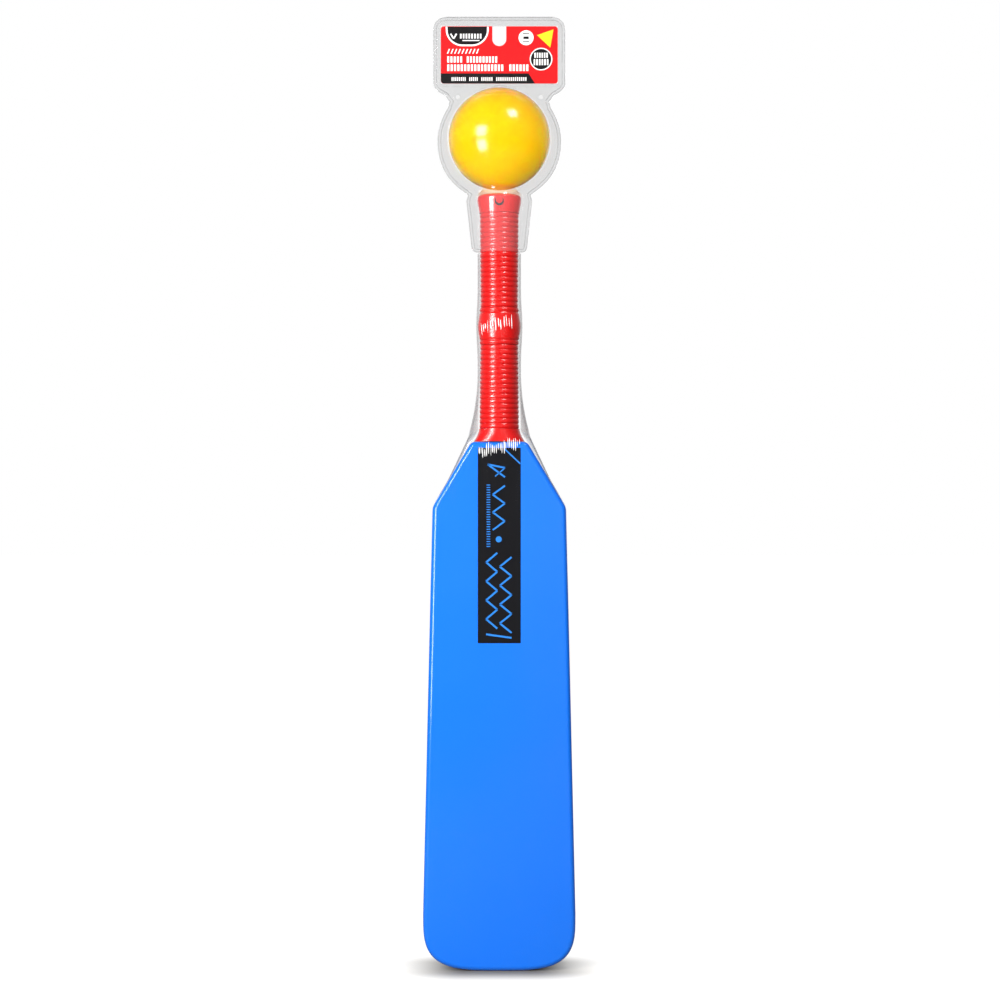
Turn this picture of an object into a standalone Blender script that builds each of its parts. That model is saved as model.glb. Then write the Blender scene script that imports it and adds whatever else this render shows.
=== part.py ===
"""Child's foam cricket bat in its retail set: bat, clear clamshell, soft ball, card and film.

The bat stands on its toe at the origin. +Z runs up the handle and the face looks along -Y.
All sizes are in metres. Run it in Blender's text editor or with
blender --background --python part.py
"""

import math

import bmesh
import bpy
from mathutils import Vector

MM = 0.001
FULL_TURN = 2 * math.pi

# Air left between two pieces that touch
GAP = 0.3 * MM

# Blade
BLADE_LENGTH = 370.9 * MM
BLADE_HALF_WIDTH = 53.5 * MM
BLADE_HALF_DEPTH = 14.0 * MM
SHOULDER_HALF_WIDTH = 46.9 * MM
SHOULDER_HEIGHT = 324.0 * MM
SHOULDER_CORNER = 6.5 * MM
TOP_HALF_WIDTH = 18.1 * MM
TOP_CORNER = 1.5 * MM
TOE_HEIGHT = 39.5 * MM
TOE_POWER = 3.5
EDGE_RADIUS = 3.5 * MM
SPINE_RISE = 6.0 * MM
SPINE_HALF_WIDTH = 15.0 * MM
SPINE_LOW = 36.0 * MM
SPINE_HIGH = 275.0 * MM
SPINE_HOLLOW = 1.25
SKIN_WALL = 1.6 * MM

# Panel let into the face
LABEL_HALF_WIDTH = 15.05 * MM
LABEL_LOW = 229.7 * MM
LABEL_HIGH = 366.6 * MM
LABEL_THICKNESS = 0.3 * MM
LABEL_CORNER = 0.5 * MM

# Stiffening tube from the knob down into the blade
TUBE_RADIUS = 9.5 * MM
TUBE_WALL = 1.8 * MM
TUBE_DEPTH = 166.0 * MM
PLUG_FLANGE = 2.4 * MM
PLUG_SPIGOT = 15.0 * MM

# Sleeves on the handle, from the blade up
FERRULE_HEIGHT = 9.0 * MM
FERRULE_HALF_DEPTH = 13.2 * MM
FERRULE_TOP_RADIUS = 14.3 * MM
FERRULE_SWEEP = 1.6
LOWER_GRIP_LENGTH = 58.6 * MM
LOWER_GRIP_RADIUS = 14.0 * MM
COLLAR_LENGTH = 26.2 * MM
COLLAR_RADIUS = 15.2 * MM
COLLAR_END_RADIUS = 13.5 * MM
UPPER_GRIP_LENGTH = 66.1 * MM
UPPER_GRIP_LOW_RADIUS = 13.3 * MM
UPPER_GRIP_TOP_RADIUS = 13.8 * MM
RIB_PITCH = 3.42 * MM
RIB_DEPTH = 0.45 * MM
GRIP_END_ROUND = 0.6 * MM

# Knob that closes the handle, with a blind eye in its front
KNOB_HEIGHT = 12.6 * MM
KNOB_RADIUS = 15.5 * MM
KNOB_NECK_RADIUS = 14.0 * MM
KNOB_BAND = 2.2 * MM
KNOB_EDGE = 2.4 * MM
KNOB_SPIGOT = 25.0 * MM
EYE_RADIUS = 3.2 * MM
EYE_DEPTH = 2.5 * MM
EYE_BELOW_TOP = 5.6 * MM
EYE_CORE_RADIUS = 2.4 * MM
EYE_CORE_RISE = 0.9 * MM

# Shrink film from the clamshell's mouth to just under the shoulders
FILM_WALL = 0.3 * MM
FILM_RADIUS = 15.4 * MM
FILM_OVER_COLLAR = 1.0 * MM
FILM_FLARE_HEIGHT = 34.0 * MM
FILM_TOP_HALF_WIDTH = 23.7 * MM
FILM_STANDOFF = 0.65 * MM
FILM_BELOW_SHOULDER = 12.0 * MM
FILM_BELOW_MOUTH = 1.0 * MM
FILM_ROOF_POWER = 1.7
FILM_FLAT_SHARES = (0.75, 0.5, 0.25)

# Ball
BALL_RADIUS = 36.0 * MM
BALL_ABOVE_KNOB = 4.0 * MM

# Clear clamshell, two formed sheets folded over at the top
SHEET = 0.5 * MM
DOME_CLEARANCE = 0.9 * MM
WAIST_RADIUS = 12.5 * MM
NECK_CLEARANCE = 0.6 * MM
MOUTH_RADIUS = 14.2 * MM
NECK_LENGTH = 40.2 * MM
NECK_SHOULDER_DROP = 1.9 * MM
RIM_WIDTH = 6.4 * MM
RIM_HIGH_ANGLE = 37
RIM_LOW_ANGLE = -47
STEP_INSET = 2.5 * MM
STEP_RISE = 1.0 * MM
SHELF_WIDTH = 1.5 * MM
PANEL_HALF_WIDTH = 46.6 * MM
PANEL_CORNER = 5.5 * MM
PANEL_FOOT_CORNER = 2.6 * MM
PANEL_ABOVE_CARD = 6.4 * MM
PANEL_BELOW_CARD = 1.1 * MM
NECK_RIM_WIDTH = 6.7 * MM
NECK_RIM_DROP = 4.0 * MM
NECK_RIM_TAPER = 1.2 * MM
NOTCH_ANGLE = -65
MOUTH_RIM_WIDTH = 4.6 * MM
MOUTH_CORNER = 0.8 * MM
SNAP_SPREAD = 29.3 * MM
SNAP_RADIUS = 2.2 * MM
SNAP_STUD_RADIUS = 1.3 * MM
SNAP_BELOW_CARD = 9.6 * MM

# How far the clamshell's forming solids run past its parting plane, no two alike
STEP_BEHIND = 1.5 * MM
FLANGE_BEHIND = 2.0 * MM
ROOM_BEHIND = 4.0 * MM
CUP_BEHIND = 6.0 * MM
CUP_REACH = 4.0 * MM
SLOT_REACH = 10.0 * MM

# Header card and its hang slot
CARD_HALF_WIDTH = 41.3 * MM
CARD_HEIGHT = 40.5 * MM
CARD_THICKNESS = 0.4 * MM
CARD_CORNER = 2.1 * MM
CARD_ABOVE_DOME = 1.8 * MM
SLOT_HALF_WIDTH = 4.6 * MM
SLOT_DEPTH = 13.7 * MM
SLOT_TOP_CORNER = 0.8 * MM

# Facets
TURNED_STEPS = 32
GRIP_STEPS = 24
CORNER_STEPS = 3
TOE_STEPS = 10
SPINE_STEPS = 3
FLARE_STEPS = 5
SHOULDER_STEPS = 3
RIM_STEPS = 9
SNAP_STEPS = 12
BALL_RINGS = 16
SOFT_EDGE_ANGLE = 35

# Places up the bat, each from the one below
FERRULE_LOW = BLADE_LENGTH + GAP
LOWER_GRIP_LOW = FERRULE_LOW + FERRULE_HEIGHT + GAP
COLLAR_LOW = LOWER_GRIP_LOW + LOWER_GRIP_LENGTH + GAP
COLLAR_MIDDLE = COLLAR_LOW + COLLAR_LENGTH / 2
UPPER_GRIP_LOW = COLLAR_LOW + COLLAR_LENGTH + GAP
KNOB_LOW = UPPER_GRIP_LOW + UPPER_GRIP_LENGTH + GAP
KNOB_TOP = KNOB_LOW + KNOB_HEIGHT
MOUTH_LOW = KNOB_TOP - NECK_LENGTH
BALL_CENTRE = KNOB_TOP + BALL_ABOVE_KNOB + BALL_RADIUS
DOME_RADIUS = BALL_RADIUS + DOME_CLEARANCE
RIM_RADIUS = DOME_RADIUS + SHEET + RIM_WIDTH
CARD_LOW = BALL_CENTRE + DOME_RADIUS + SHEET + CARD_ABOVE_DOME
CARD_TOP = CARD_LOW + CARD_HEIGHT
PANEL_TOP = CARD_TOP + PANEL_ABOVE_CARD
PANEL_FOOT = CARD_LOW - PANEL_BELOW_CARD
SHELF = CARD_LOW - GAP - SHEET
SNAP_HEIGHT = CARD_LOW - SNAP_BELOW_CARD
TUBE_LOW = BLADE_LENGTH - TUBE_DEPTH
TUBE_TOP = KNOB_LOW - GAP
TUBE_BORE = TUBE_RADIUS - TUBE_WALL
SLEEVE_BORE = TUBE_RADIUS + GAP


# Scene and materials

def clear_scene():
    """Remove every object, so that the script can be run again."""
    for item in list(bpy.data.objects):
        bpy.data.objects.remove(item, do_unlink=True)


def linear(channel):
    """Turn one display colour channel, 0 to 255, into a linear value."""
    value = channel / 255
    return value / 12.92 if value <= 0.04045 else ((value + 0.055) / 1.055) ** 2.4


def material(name, colour, roughness, alpha=1.0):
    """A plain finish from a display colour."""
    made = bpy.data.materials.new(name)
    made.use_nodes = True
    shader = made.node_tree.nodes["Principled BSDF"]
    shader.inputs["Base Color"].default_value = (*(linear(c) for c in colour), 1.0)
    shader.inputs["Roughness"].default_value = roughness
    shader.inputs["Metallic"].default_value = 0.0
    shader.inputs["Alpha"].default_value = alpha
    return made


def pivot(name, height, parent=None):
    """An empty on a joint's axis, which carries the pieces that move with it."""
    empty = bpy.data.objects.new(name, None)
    bpy.context.collection.objects.link(empty)
    empty.parent = parent
    empty.location = (0, 0, height - (parent.location.z if parent else 0))
    return empty


def hang(item, empty, height):
    """Put a piece under a pivot and leave it where it is."""
    item.parent = empty
    item.location = (0, 0, -height)
    return item


# Meshes

def finish(name, mesh, finish_material=None):
    """Turn a bmesh into an object with outward faces and smooth rounds."""
    bmesh.ops.recalc_face_normals(mesh, faces=mesh.faces)
    data = bpy.data.meshes.new(name)
    mesh.to_mesh(data)
    mesh.free()
    data.shade_smooth()
    data.set_sharp_from_angle(angle=math.radians(SOFT_EDGE_ANGLE))
    if finish_material:
        data.materials.append(finish_material)
    item = bpy.data.objects.new(name, data)
    bpy.context.collection.objects.link(item)
    return item


def loft(name, rings, finish_material=None, closed=False):
    """Skin rings of equal length, with end caps unless the last ring meets the first."""
    mesh = bmesh.new()
    loops = [[mesh.verts.new(point) for point in ring] for ring in rings]
    pairs = list(zip(loops, loops[1:]))
    if closed:
        pairs.append((loops[-1], loops[0]))
    else:
        mesh.faces.new(loops[0])
        mesh.faces.new(list(reversed(loops[-1])))
    for low, high in pairs:
        for i in range(len(low)):
            j = (i + 1) % len(low)
            mesh.faces.new((low[i], low[j], high[j], high[i]))
    return finish(name, mesh, finish_material)


def turned(name, profile, finish_material=None, steps=TURNED_STEPS):
    """Spin a closed outline of (radius, height) points round the Z axis."""
    mesh = bmesh.new()
    corners = [mesh.verts.new((radius, 0, height)) for radius, height in profile]
    on_axis = [radius == 0 for radius, _ in profile]
    edges = []
    for i, corner in enumerate(corners):
        j = (i + 1) % len(corners)
        if not (on_axis[i] and on_axis[j]):
            edges.append(mesh.edges.new((corner, corners[j])))
    bmesh.ops.spin(
        mesh, geom=corners + edges, axis=(0, 0, 1), cent=(0, 0, 0),
        angle=FULL_TURN, steps=steps, use_merge=True,
    )
    bmesh.ops.remove_doubles(mesh, verts=mesh.verts, dist=1e-6)
    return finish(name, mesh, finish_material)


def slab(name, outline, near, far, finish_material=None):
    """Extrude an outline of (x, z) points along Y, from near to far."""
    mesh = bmesh.new()
    face = mesh.faces.new([mesh.verts.new((x, near, z)) for x, z in outline])
    moved = bmesh.ops.extrude_face_region(mesh, geom=[face])["geom"]
    verts = [part for part in moved if isinstance(part, bmesh.types.BMVert)]
    bmesh.ops.translate(mesh, verts=verts, vec=(0, far - near, 0))
    return finish(name, mesh, finish_material)


def rod(name, radius, start, end, steps=TURNED_STEPS):
    """A cylinder between two points."""
    start, end = Vector(start), Vector(end)
    along = end - start
    side = along.orthogonal().normalized() * radius
    other = along.normalized().cross(side)
    angles = [FULL_TURN * i / steps for i in range(steps)]
    ring = [side * math.cos(a) + other * math.sin(a) for a in angles]
    return loft(name, [[start + p for p in ring], [end + p for p in ring]])


def combine(item, other, operation):
    """Join, cut or keep the common part of two solids; the other one becomes a hidden guide."""
    change = item.modifiers.new(other.name, "BOOLEAN")
    change.object = other
    change.operation = operation
    change.solver = "EXACT"
    other.hide_render = True
    other.display_type = "WIRE"
    return item


# Outlines

def rounded(corners, steps=CORNER_STEPS):
    """Points of a closed outline whose corners are (x, z, radius)."""
    points = []
    for i, (x, z, radius) in enumerate(corners):
        here = Vector((x, z))
        if radius == 0:
            points.append((x, z))
            continue
        before = Vector(corners[i - 1][:2]) - here
        after = Vector(corners[(i + 1) % len(corners)][:2]) - here
        half = before.angle(after) / 2
        centre = here + (before.normalized() + after.normalized()).normalized() * (
            radius / math.sin(half)
        )
        start = here + before.normalized() * (radius / math.tan(half)) - centre
        end = here + after.normalized() * (radius / math.tan(half)) - centre
        for k in range(steps + 1):
            spoke = start.slerp(end, k / steps) * radius
            points.append(tuple(centre + spoke))
    return points


def inset(outline, distance):
    """Move every side of a counter-clockwise outline inwards, with mitred corners."""
    moved = []
    for i, point in enumerate(outline):
        here = Vector(point)
        before = (here - Vector(outline[i - 1])).normalized()
        after = (Vector(outline[(i + 1) % len(outline)]) - here).normalized()
        inward = Vector((-before.y, before.x)) + Vector((-after.y, after.x))
        inward.normalize()
        share = inward.dot(Vector((-before.y, before.x)))
        moved.append(tuple(here + inward * (distance / share)))
    return moved


def clipped(outline, level, keep_above):
    """The part of an outline above or below a level line."""
    sign = 1 if keep_above else -1
    kept = []
    for i, (x, z) in enumerate(outline):
        px, pz = outline[i - 1]
        inside, was_inside = sign * (z - level) >= 0, sign * (pz - level) >= 0
        if inside != was_inside:
            share = (level - pz) / (z - pz)
            kept.append((px + (x - px) * share, level))
        if inside:
            kept.append((x, z))
    return kept


def mirrored(half):
    """Close a right-hand half outline, which starts and ends on the centre line."""
    return half + [(-x, z) for x, z in reversed(half[1:-1])]


def power_curve(angle, power):
    """A point on a unit superellipse."""
    c, s = math.cos(angle), math.sin(angle)
    return (
        math.copysign(abs(c) ** (2 / power), c),
        math.copysign(abs(s) ** (2 / power), s),
    )


# Blade

def blade_outline():
    """The blade seen from the front: a squared toe, straight edges and sloping shoulders."""
    half = []
    for k in range(TOE_STEPS + 1):
        x, z = power_curve(math.pi / 2 * (1 - k / TOE_STEPS), TOE_POWER)
        half.append((BLADE_HALF_WIDTH * abs(x) if k else 0.0, TOE_HEIGHT * (1 - z)))
    corners = rounded([
        (BLADE_HALF_WIDTH, TOE_HEIGHT, 0),
        (SHOULDER_HALF_WIDTH, SHOULDER_HEIGHT, EDGE_RADIUS + SHOULDER_CORNER),
        (TOP_HALF_WIDTH, BLADE_LENGTH, EDGE_RADIUS + TOP_CORNER),
        (0.0, BLADE_LENGTH, 0),
    ])
    return mirrored(half + corners[1:])


def blade_layers(shrink, outline):
    """Rings of the blade from its face to its spine, all drawn in by shrink."""
    bend = EDGE_RADIUS - shrink if EDGE_RADIUS > shrink + GAP else GAP
    face, back = shrink - BLADE_HALF_DEPTH, BLADE_HALF_DEPTH - shrink
    front, rear = [], []
    for k in range(CORNER_STEPS + 1):
        turn = math.pi / 2 * k / CORNER_STEPS
        front.append((shrink + bend * (1 - math.sin(turn)), face + bend * (1 - math.cos(turn))))
        rear.append((shrink + bend * (1 - math.cos(turn)), back - bend * (1 - math.sin(turn))))
    layers = [[(x, y, z) for x, z in inset(outline, d)] for d, y in front + rear]
    edge = inset(outline, shrink + bend)
    spine_span = (SPINE_HIGH - SPINE_LOW) / BLADE_LENGTH
    for k in range(1, SPINE_STEPS + 1):
        share = k / SPINE_STEPS
        y = back + SPINE_RISE * share ** SPINE_HOLLOW
        ring = []
        for (x, z), (full_x, full_z) in zip(edge, outline):
            crown_x = full_x * SPINE_HALF_WIDTH / BLADE_HALF_WIDTH
            crown_z = SPINE_LOW + full_z * spine_span
            ring.append((x + (crown_x - x) * share, y, z + (crown_z - z) * share))
        layers.append(ring)
    return layers


def side_ring(outline, shrink, depth):
    """The blade's outline, drawn in, at one depth."""
    return [(x, depth, z) for x, z in inset(outline, shrink)]


def make_blade(bat):
    """Foam core in two moulded skins that meet half way round the edge, and the face panel."""
    blue = material("blade_blue", (38, 136, 252), 0.35)
    outline = blade_outline()
    fronts = CORNER_STEPS + 1
    outer, inner = blade_layers(0, outline), blade_layers(SKIN_WALL, outline)
    seam = GAP / 2
    front_skin = loft("blade_front_skin", [
        *outer[:fronts], side_ring(outline, 0, -seam),
        side_ring(outline, SKIN_WALL, -seam), *reversed(inner[:fronts]),
    ], blue)
    back_skin = loft("blade_back_skin", [
        *reversed(outer[fronts:]), side_ring(outline, 0, seam),
        side_ring(outline, SKIN_WALL, seam), *inner[fronts:],
    ], blue)
    core = loft("blade_core", blade_layers(SKIN_WALL + GAP, outline),
                material("foam_white", (236, 236, 228), 0.9))
    bore = rod("tube_bore", SLEEVE_BORE, (0, 0, TUBE_LOW - PLUG_FLANGE - 2 * GAP),
               (0, 0, BLADE_LENGTH + FERRULE_HEIGHT))
    for piece in (front_skin, back_skin, core):
        combine(piece, bore, "DIFFERENCE")
    pocket = label_outline(GAP)
    pocket_floor = LABEL_THICKNESS + GAP - BLADE_HALF_DEPTH
    combine(front_skin, slab("label_pocket", pocket, -2 * BLADE_HALF_DEPTH, pocket_floor),
            "DIFFERENCE")
    label = slab("blade_label", label_outline(0), -BLADE_HALF_DEPTH,
                 LABEL_THICKNESS - BLADE_HALF_DEPTH, material("label_black", (35, 35, 37), 0.3))
    for piece in (front_skin, back_skin, core, label):
        piece.parent = bat


def label_outline(margin):
    """The face panel's outline, or its pocket's with a margin."""
    half, radius = LABEL_HALF_WIDTH + margin, LABEL_CORNER + margin
    low, high = LABEL_LOW - margin, LABEL_HIGH + margin
    return rounded([(-half, low, radius), (half, low, radius),
                    (half, high, radius), (-half, high, radius)])


# Handle

def make_tube(bat):
    """The tube inside the handle and the plug that closes its lower end."""
    tube = turned("core_tube", [
        (TUBE_RADIUS, TUBE_TOP), (TUBE_RADIUS, TUBE_LOW), (TUBE_BORE, TUBE_LOW),
        (TUBE_BORE, TUBE_TOP),
    ], material("tube_grey", (150, 152, 156), 0.5))
    top = TUBE_LOW - GAP
    spigot = TUBE_BORE - GAP
    plug = turned("tube_end_plug", [
        (0, TUBE_LOW + PLUG_SPIGOT), (spigot - GAP, TUBE_LOW + PLUG_SPIGOT),
        (spigot, TUBE_LOW + PLUG_SPIGOT - 2 * GAP), (spigot, top), (TUBE_RADIUS, top),
        (TUBE_RADIUS, top - PLUG_FLANGE + 2 * GAP), (TUBE_RADIUS - 2 * GAP, top - PLUG_FLANGE + GAP),
        (0, top - PLUG_FLANGE + GAP),
    ], material("plug_black", (48, 48, 52), 0.6))
    tube.parent = bat
    plug.parent = bat


def ribbed_sleeve(name, low, length, low_radius, top_radius, finish_material):
    """A sleeve with a crest and a groove for each rib, on the tube."""
    ribs = max(1, int((length - 2 * GRIP_END_ROUND) / RIB_PITCH))
    pitch = (length - 2 * GRIP_END_ROUND) / ribs

    def radius_at(height):
        return low_radius + (top_radius - low_radius) * (height - low) / length

    top = low + length
    outer = [(radius_at(top) - RIB_DEPTH, top)]
    for k in range(ribs):
        crest = top - GRIP_END_ROUND - (k + 0.5) * pitch
        outer.append((radius_at(crest), crest))
        groove = crest - pitch / 2
        if k < ribs - 1:
            outer.append((radius_at(groove) - RIB_DEPTH, groove))
    outer.append((radius_at(low) - RIB_DEPTH, low))
    profile = outer + [(SLEEVE_BORE, low), (SLEEVE_BORE, top)]
    return turned(name, profile, finish_material, GRIP_STEPS)


def make_ferrule(red):
    """The smooth flare that seats the handle on the blade."""
    outer = []
    for k in range(CORNER_STEPS + 2):
        share = k / (CORNER_STEPS + 1)
        sweep = (1 - share) ** FERRULE_SWEEP
        wide = FERRULE_TOP_RADIUS + (TOP_HALF_WIDTH - FERRULE_TOP_RADIUS) * sweep
        deep = FERRULE_TOP_RADIUS + (FERRULE_HALF_DEPTH - FERRULE_TOP_RADIUS) * sweep
        height = FERRULE_LOW + FERRULE_HEIGHT * share
        ring = []
        for i in range(TURNED_STEPS):
            x, y = power_curve(FULL_TURN * (i + 0.5) / TURNED_STEPS, 2 + sweep / 2)
            ring.append((wide * x, deep * y, height))
        outer.append(ring)
    bore = []
    for height in (FERRULE_LOW + FERRULE_HEIGHT, FERRULE_LOW):
        angles = [FULL_TURN * (i + 0.5) / TURNED_STEPS for i in range(TURNED_STEPS)]
        bore.append([(SLEEVE_BORE * math.cos(a), SLEEVE_BORE * math.sin(a), height)
                     for a in angles])
    return loft("shoulder_ferrule", outer + bore, red, closed=True)


def make_collar(red):
    """The smooth barrel between the two ribbed lengths."""
    outer = []
    steps = 2 * CORNER_STEPS
    for k in range(steps + 1):
        share = k / steps
        swell = (1 - math.cos(FULL_TURN * share)) / 2
        radius = COLLAR_END_RADIUS + (COLLAR_RADIUS - COLLAR_END_RADIUS) * swell
        outer.append((radius, COLLAR_LOW + COLLAR_LENGTH * (1 - share)))
    bore = [(SLEEVE_BORE, COLLAR_LOW), (SLEEVE_BORE, COLLAR_LOW + COLLAR_LENGTH)]
    return turned("grip_collar", outer + bore, red)


def cut_eye(knob):
    """Sink a blind eye in the knob's front, round a core that stands high in it."""
    height = KNOB_TOP - EYE_BELOW_TOP
    core_height = height + EYE_CORE_RISE
    outside, floor = -KNOB_RADIUS - EYE_DEPTH, EYE_DEPTH - KNOB_RADIUS
    eye = rod("knob_eye", EYE_RADIUS, (0, outside, height), (0, floor, height), GRIP_STEPS)
    core = rod("knob_eye_core", EYE_CORE_RADIUS, (0, outside - EYE_DEPTH, core_height),
               (0, floor + EYE_DEPTH, core_height), GRIP_STEPS)
    return combine(knob, combine(eye, core, "DIFFERENCE"), "DIFFERENCE")


def make_knob(red):
    """The end knob with its spigot in the tube."""
    spigot = TUBE_BORE - GAP
    band_low = KNOB_TOP - KNOB_EDGE - KNOB_BAND
    edge_low = KNOB_TOP - KNOB_EDGE
    edge = []
    for k in range(1, CORNER_STEPS + 1):
        turn = math.pi / 2 * k / CORNER_STEPS
        edge.append((KNOB_RADIUS - KNOB_EDGE * (1 - math.cos(turn)),
                     edge_low + KNOB_EDGE * (1 - GAP / KNOB_EDGE) * math.sin(turn)))
    knob = turned("end_knob", [
        (0, KNOB_TOP), *reversed(edge), (KNOB_RADIUS, edge_low), (KNOB_RADIUS, band_low),
        (KNOB_NECK_RADIUS, KNOB_LOW), (spigot, KNOB_LOW), (spigot, KNOB_LOW - KNOB_SPIGOT + GAP),
        (spigot - GAP, KNOB_LOW - KNOB_SPIGOT), (0, KNOB_LOW - KNOB_SPIGOT),
    ], red)
    return cut_eye(knob)


def make_handle(bat):
    """Ferrule, ribbed sleeves, collar and knob."""
    red = material("grip_red", (237, 50, 48), 0.45)
    pieces = [
        make_ferrule(red),
        ribbed_sleeve("lower_grip", LOWER_GRIP_LOW, LOWER_GRIP_LENGTH,
                      LOWER_GRIP_RADIUS, COLLAR_END_RADIUS, red),
        make_collar(red),
        ribbed_sleeve("upper_grip", UPPER_GRIP_LOW, UPPER_GRIP_LENGTH,
                      UPPER_GRIP_LOW_RADIUS, UPPER_GRIP_TOP_RADIUS, red),
        make_knob(red),
    ]
    for piece in pieces:
        piece.parent = bat


# Shrink film

def film_radius(height):
    """The film's outer radius as a tube, a little wider over the collar."""
    swell = max(0.0, 1 - abs(height - COLLAR_MIDDLE) / COLLAR_LENGTH)
    return FILM_RADIUS + FILM_OVER_COLLAR * swell


def film_half_width(height):
    """Half the film's outer width: a tube that flares out to the blade's shoulders."""
    over = BLADE_LENGTH + FILM_FLARE_HEIGHT - height
    if over <= 0:
        return film_radius(height)
    if height >= BLADE_LENGTH:
        return FILM_RADIUS + (FILM_TOP_HALF_WIDTH - FILM_RADIUS) * (over / FILM_FLARE_HEIGHT) ** 2
    if height > SHOULDER_HEIGHT:
        share = (BLADE_LENGTH - height) / (BLADE_LENGTH - SHOULDER_HEIGHT)
        at_shoulder = SHOULDER_HALF_WIDTH + FILM_STANDOFF + FILM_WALL
        return FILM_TOP_HALF_WIDTH + (at_shoulder - FILM_TOP_HALF_WIDTH) * share
    spread = (BLADE_HALF_WIDTH - SHOULDER_HALF_WIDTH) / (SHOULDER_HEIGHT - TOE_HEIGHT)
    grown = (SHOULDER_HEIGHT - height) * spread
    return SHOULDER_HALF_WIDTH + grown + FILM_STANDOFF + FILM_WALL


def film_quarter(half_width, half_depth, corner):
    """A quarter of a rounded rectangle, from its side to its flat, with points along both."""
    straight = half_width - corner
    points = [(half_width, (half_depth - corner) / 2)]
    for k in range(CORNER_STEPS + 1):
        turn = math.pi / 2 * k / CORNER_STEPS
        points.append((straight + corner * math.cos(turn),
                       half_depth - corner * (1 - math.sin(turn))))
    return points + [(straight * share, half_depth) for share in FILM_FLAT_SHARES]


def film_ring(height, wall):
    """One section of the film, round on the handle and squared on the blade."""
    blend = min(1.0, max(0.0, (BLADE_LENGTH + FERRULE_HEIGHT - height) / FERRULE_HEIGHT))
    half_width = film_half_width(height) - wall
    spare = FILM_STANDOFF + FILM_WALL - wall
    square = film_quarter(half_width, BLADE_HALF_DEPTH + spare, EDGE_RADIUS + spare)
    quarter = []
    for i, (flat_x, flat_y) in enumerate(square):
        angle = math.pi / 2 * (i + 0.5) / len(square)
        x, y = half_width * math.cos(angle), (film_radius(height) - wall) * math.sin(angle)
        quarter.append((x + (flat_x - x) * blend, y + (flat_y - y) * blend))
    back = quarter + [(-x, y) for x, y in reversed(quarter)]
    under_top = min(1.0, max(0.0, BLADE_LENGTH - height) / (BLADE_LENGTH - SPINE_HIGH))
    ring = []
    for x, y in back:
        roof = SPINE_RISE * under_top * (1 - abs(x / half_width) ** FILM_ROOF_POWER)
        ring.append((x, y + roof, height))
    return ring + [(x, -y, height) for x, y in reversed(back)]


def make_film(bat):
    """Clear shrink film, open at both ends."""
    flare_top = BLADE_LENGTH + FILM_FLARE_HEIGHT
    heights = [MOUTH_LOW - FILM_BELOW_MOUTH, COLLAR_MIDDLE + COLLAR_LENGTH, COLLAR_MIDDLE,
               COLLAR_MIDDLE - COLLAR_LENGTH]
    heights += [flare_top - FILM_FLARE_HEIGHT * k / FLARE_STEPS for k in range(FLARE_STEPS + 1)]
    drop = BLADE_LENGTH - SHOULDER_HEIGHT
    heights += [BLADE_LENGTH - drop * k / SHOULDER_STEPS for k in range(1, SHOULDER_STEPS + 1)]
    heights.append(SHOULDER_HEIGHT - FILM_BELOW_SHOULDER)
    rings = [film_ring(height, 0) for height in heights]
    rings += [film_ring(height, FILM_WALL) for height in reversed(heights)]
    film = loft("film_sleeve", rings, material("clear_film", (235, 238, 242), 0.1, 0.25), closed=True)
    film.parent = bat


# Clamshell

def panel_outline():
    """The clamshell's edge: a header panel, a round waist about the ball and a neck."""
    turn = STEP_INSET + SHEET
    notch = BALL_CENTRE + RIM_RADIUS * math.sin(math.radians(NOTCH_ANGLE))
    neck_half = KNOB_RADIUS + NECK_CLEARANCE + SHEET + NECK_RIM_WIDTH
    corners = [
        (0.0, MOUTH_LOW, 0),
        (MOUTH_RADIUS + SHEET + MOUTH_RIM_WIDTH, MOUTH_LOW, turn + MOUTH_CORNER),
        (neck_half, KNOB_TOP - NECK_RIM_DROP, 0),
        (neck_half - NECK_RIM_TAPER, notch, 0),
    ]
    for k in range(RIM_STEPS + 1):
        angle = math.radians(RIM_LOW_ANGLE + (RIM_HIGH_ANGLE - RIM_LOW_ANGLE) * k / RIM_STEPS)
        corners.append((RIM_RADIUS * math.cos(angle), BALL_CENTRE + RIM_RADIUS * math.sin(angle), 0))
    corners += [
        (PANEL_HALF_WIDTH, PANEL_FOOT, turn + PANEL_FOOT_CORNER),
        (PANEL_HALF_WIDTH, PANEL_TOP, turn + PANEL_CORNER),
        (0.0, PANEL_TOP, 0),
    ]
    return mirrored(rounded(corners))


def shell_turning(name, wall):
    """Dome, waist and neck as one turned solid; a wall makes it the outer form."""
    dome = DOME_RADIUS + wall
    waist = WAIST_RADIUS + wall
    neck = KNOB_RADIUS + NECK_CLEARANCE + wall
    low_end = MOUTH_LOW - GAP if wall else MOUTH_LOW - NECK_LENGTH / 4
    start = math.pi / 2
    end = -math.acos(waist / dome)
    steps = BALL_RINGS - 2
    profile = [(0, BALL_CENTRE + dome)]
    for k in range(1, steps + 1):
        angle = start + (end - start) * k / steps
        profile.append((dome * math.cos(angle), BALL_CENTRE + dome * math.sin(angle)))
    shoulder = KNOB_TOP + BALL_ABOVE_KNOB - GAP + wall / 2
    profile += [
        (waist, shoulder),
        ((waist + neck) / 2 + wall / 4, shoulder - NECK_SHOULDER_DROP),
        (neck, KNOB_TOP - KNOB_EDGE / 2 + wall / 2),
        (neck, KNOB_TOP - KNOB_EDGE - KNOB_BAND + GAP),
        (MOUTH_RADIUS + wall, MOUTH_LOW),
        (MOUTH_RADIUS + wall, low_end),
        (0, low_end),
    ]
    return turned(name, profile)


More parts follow.
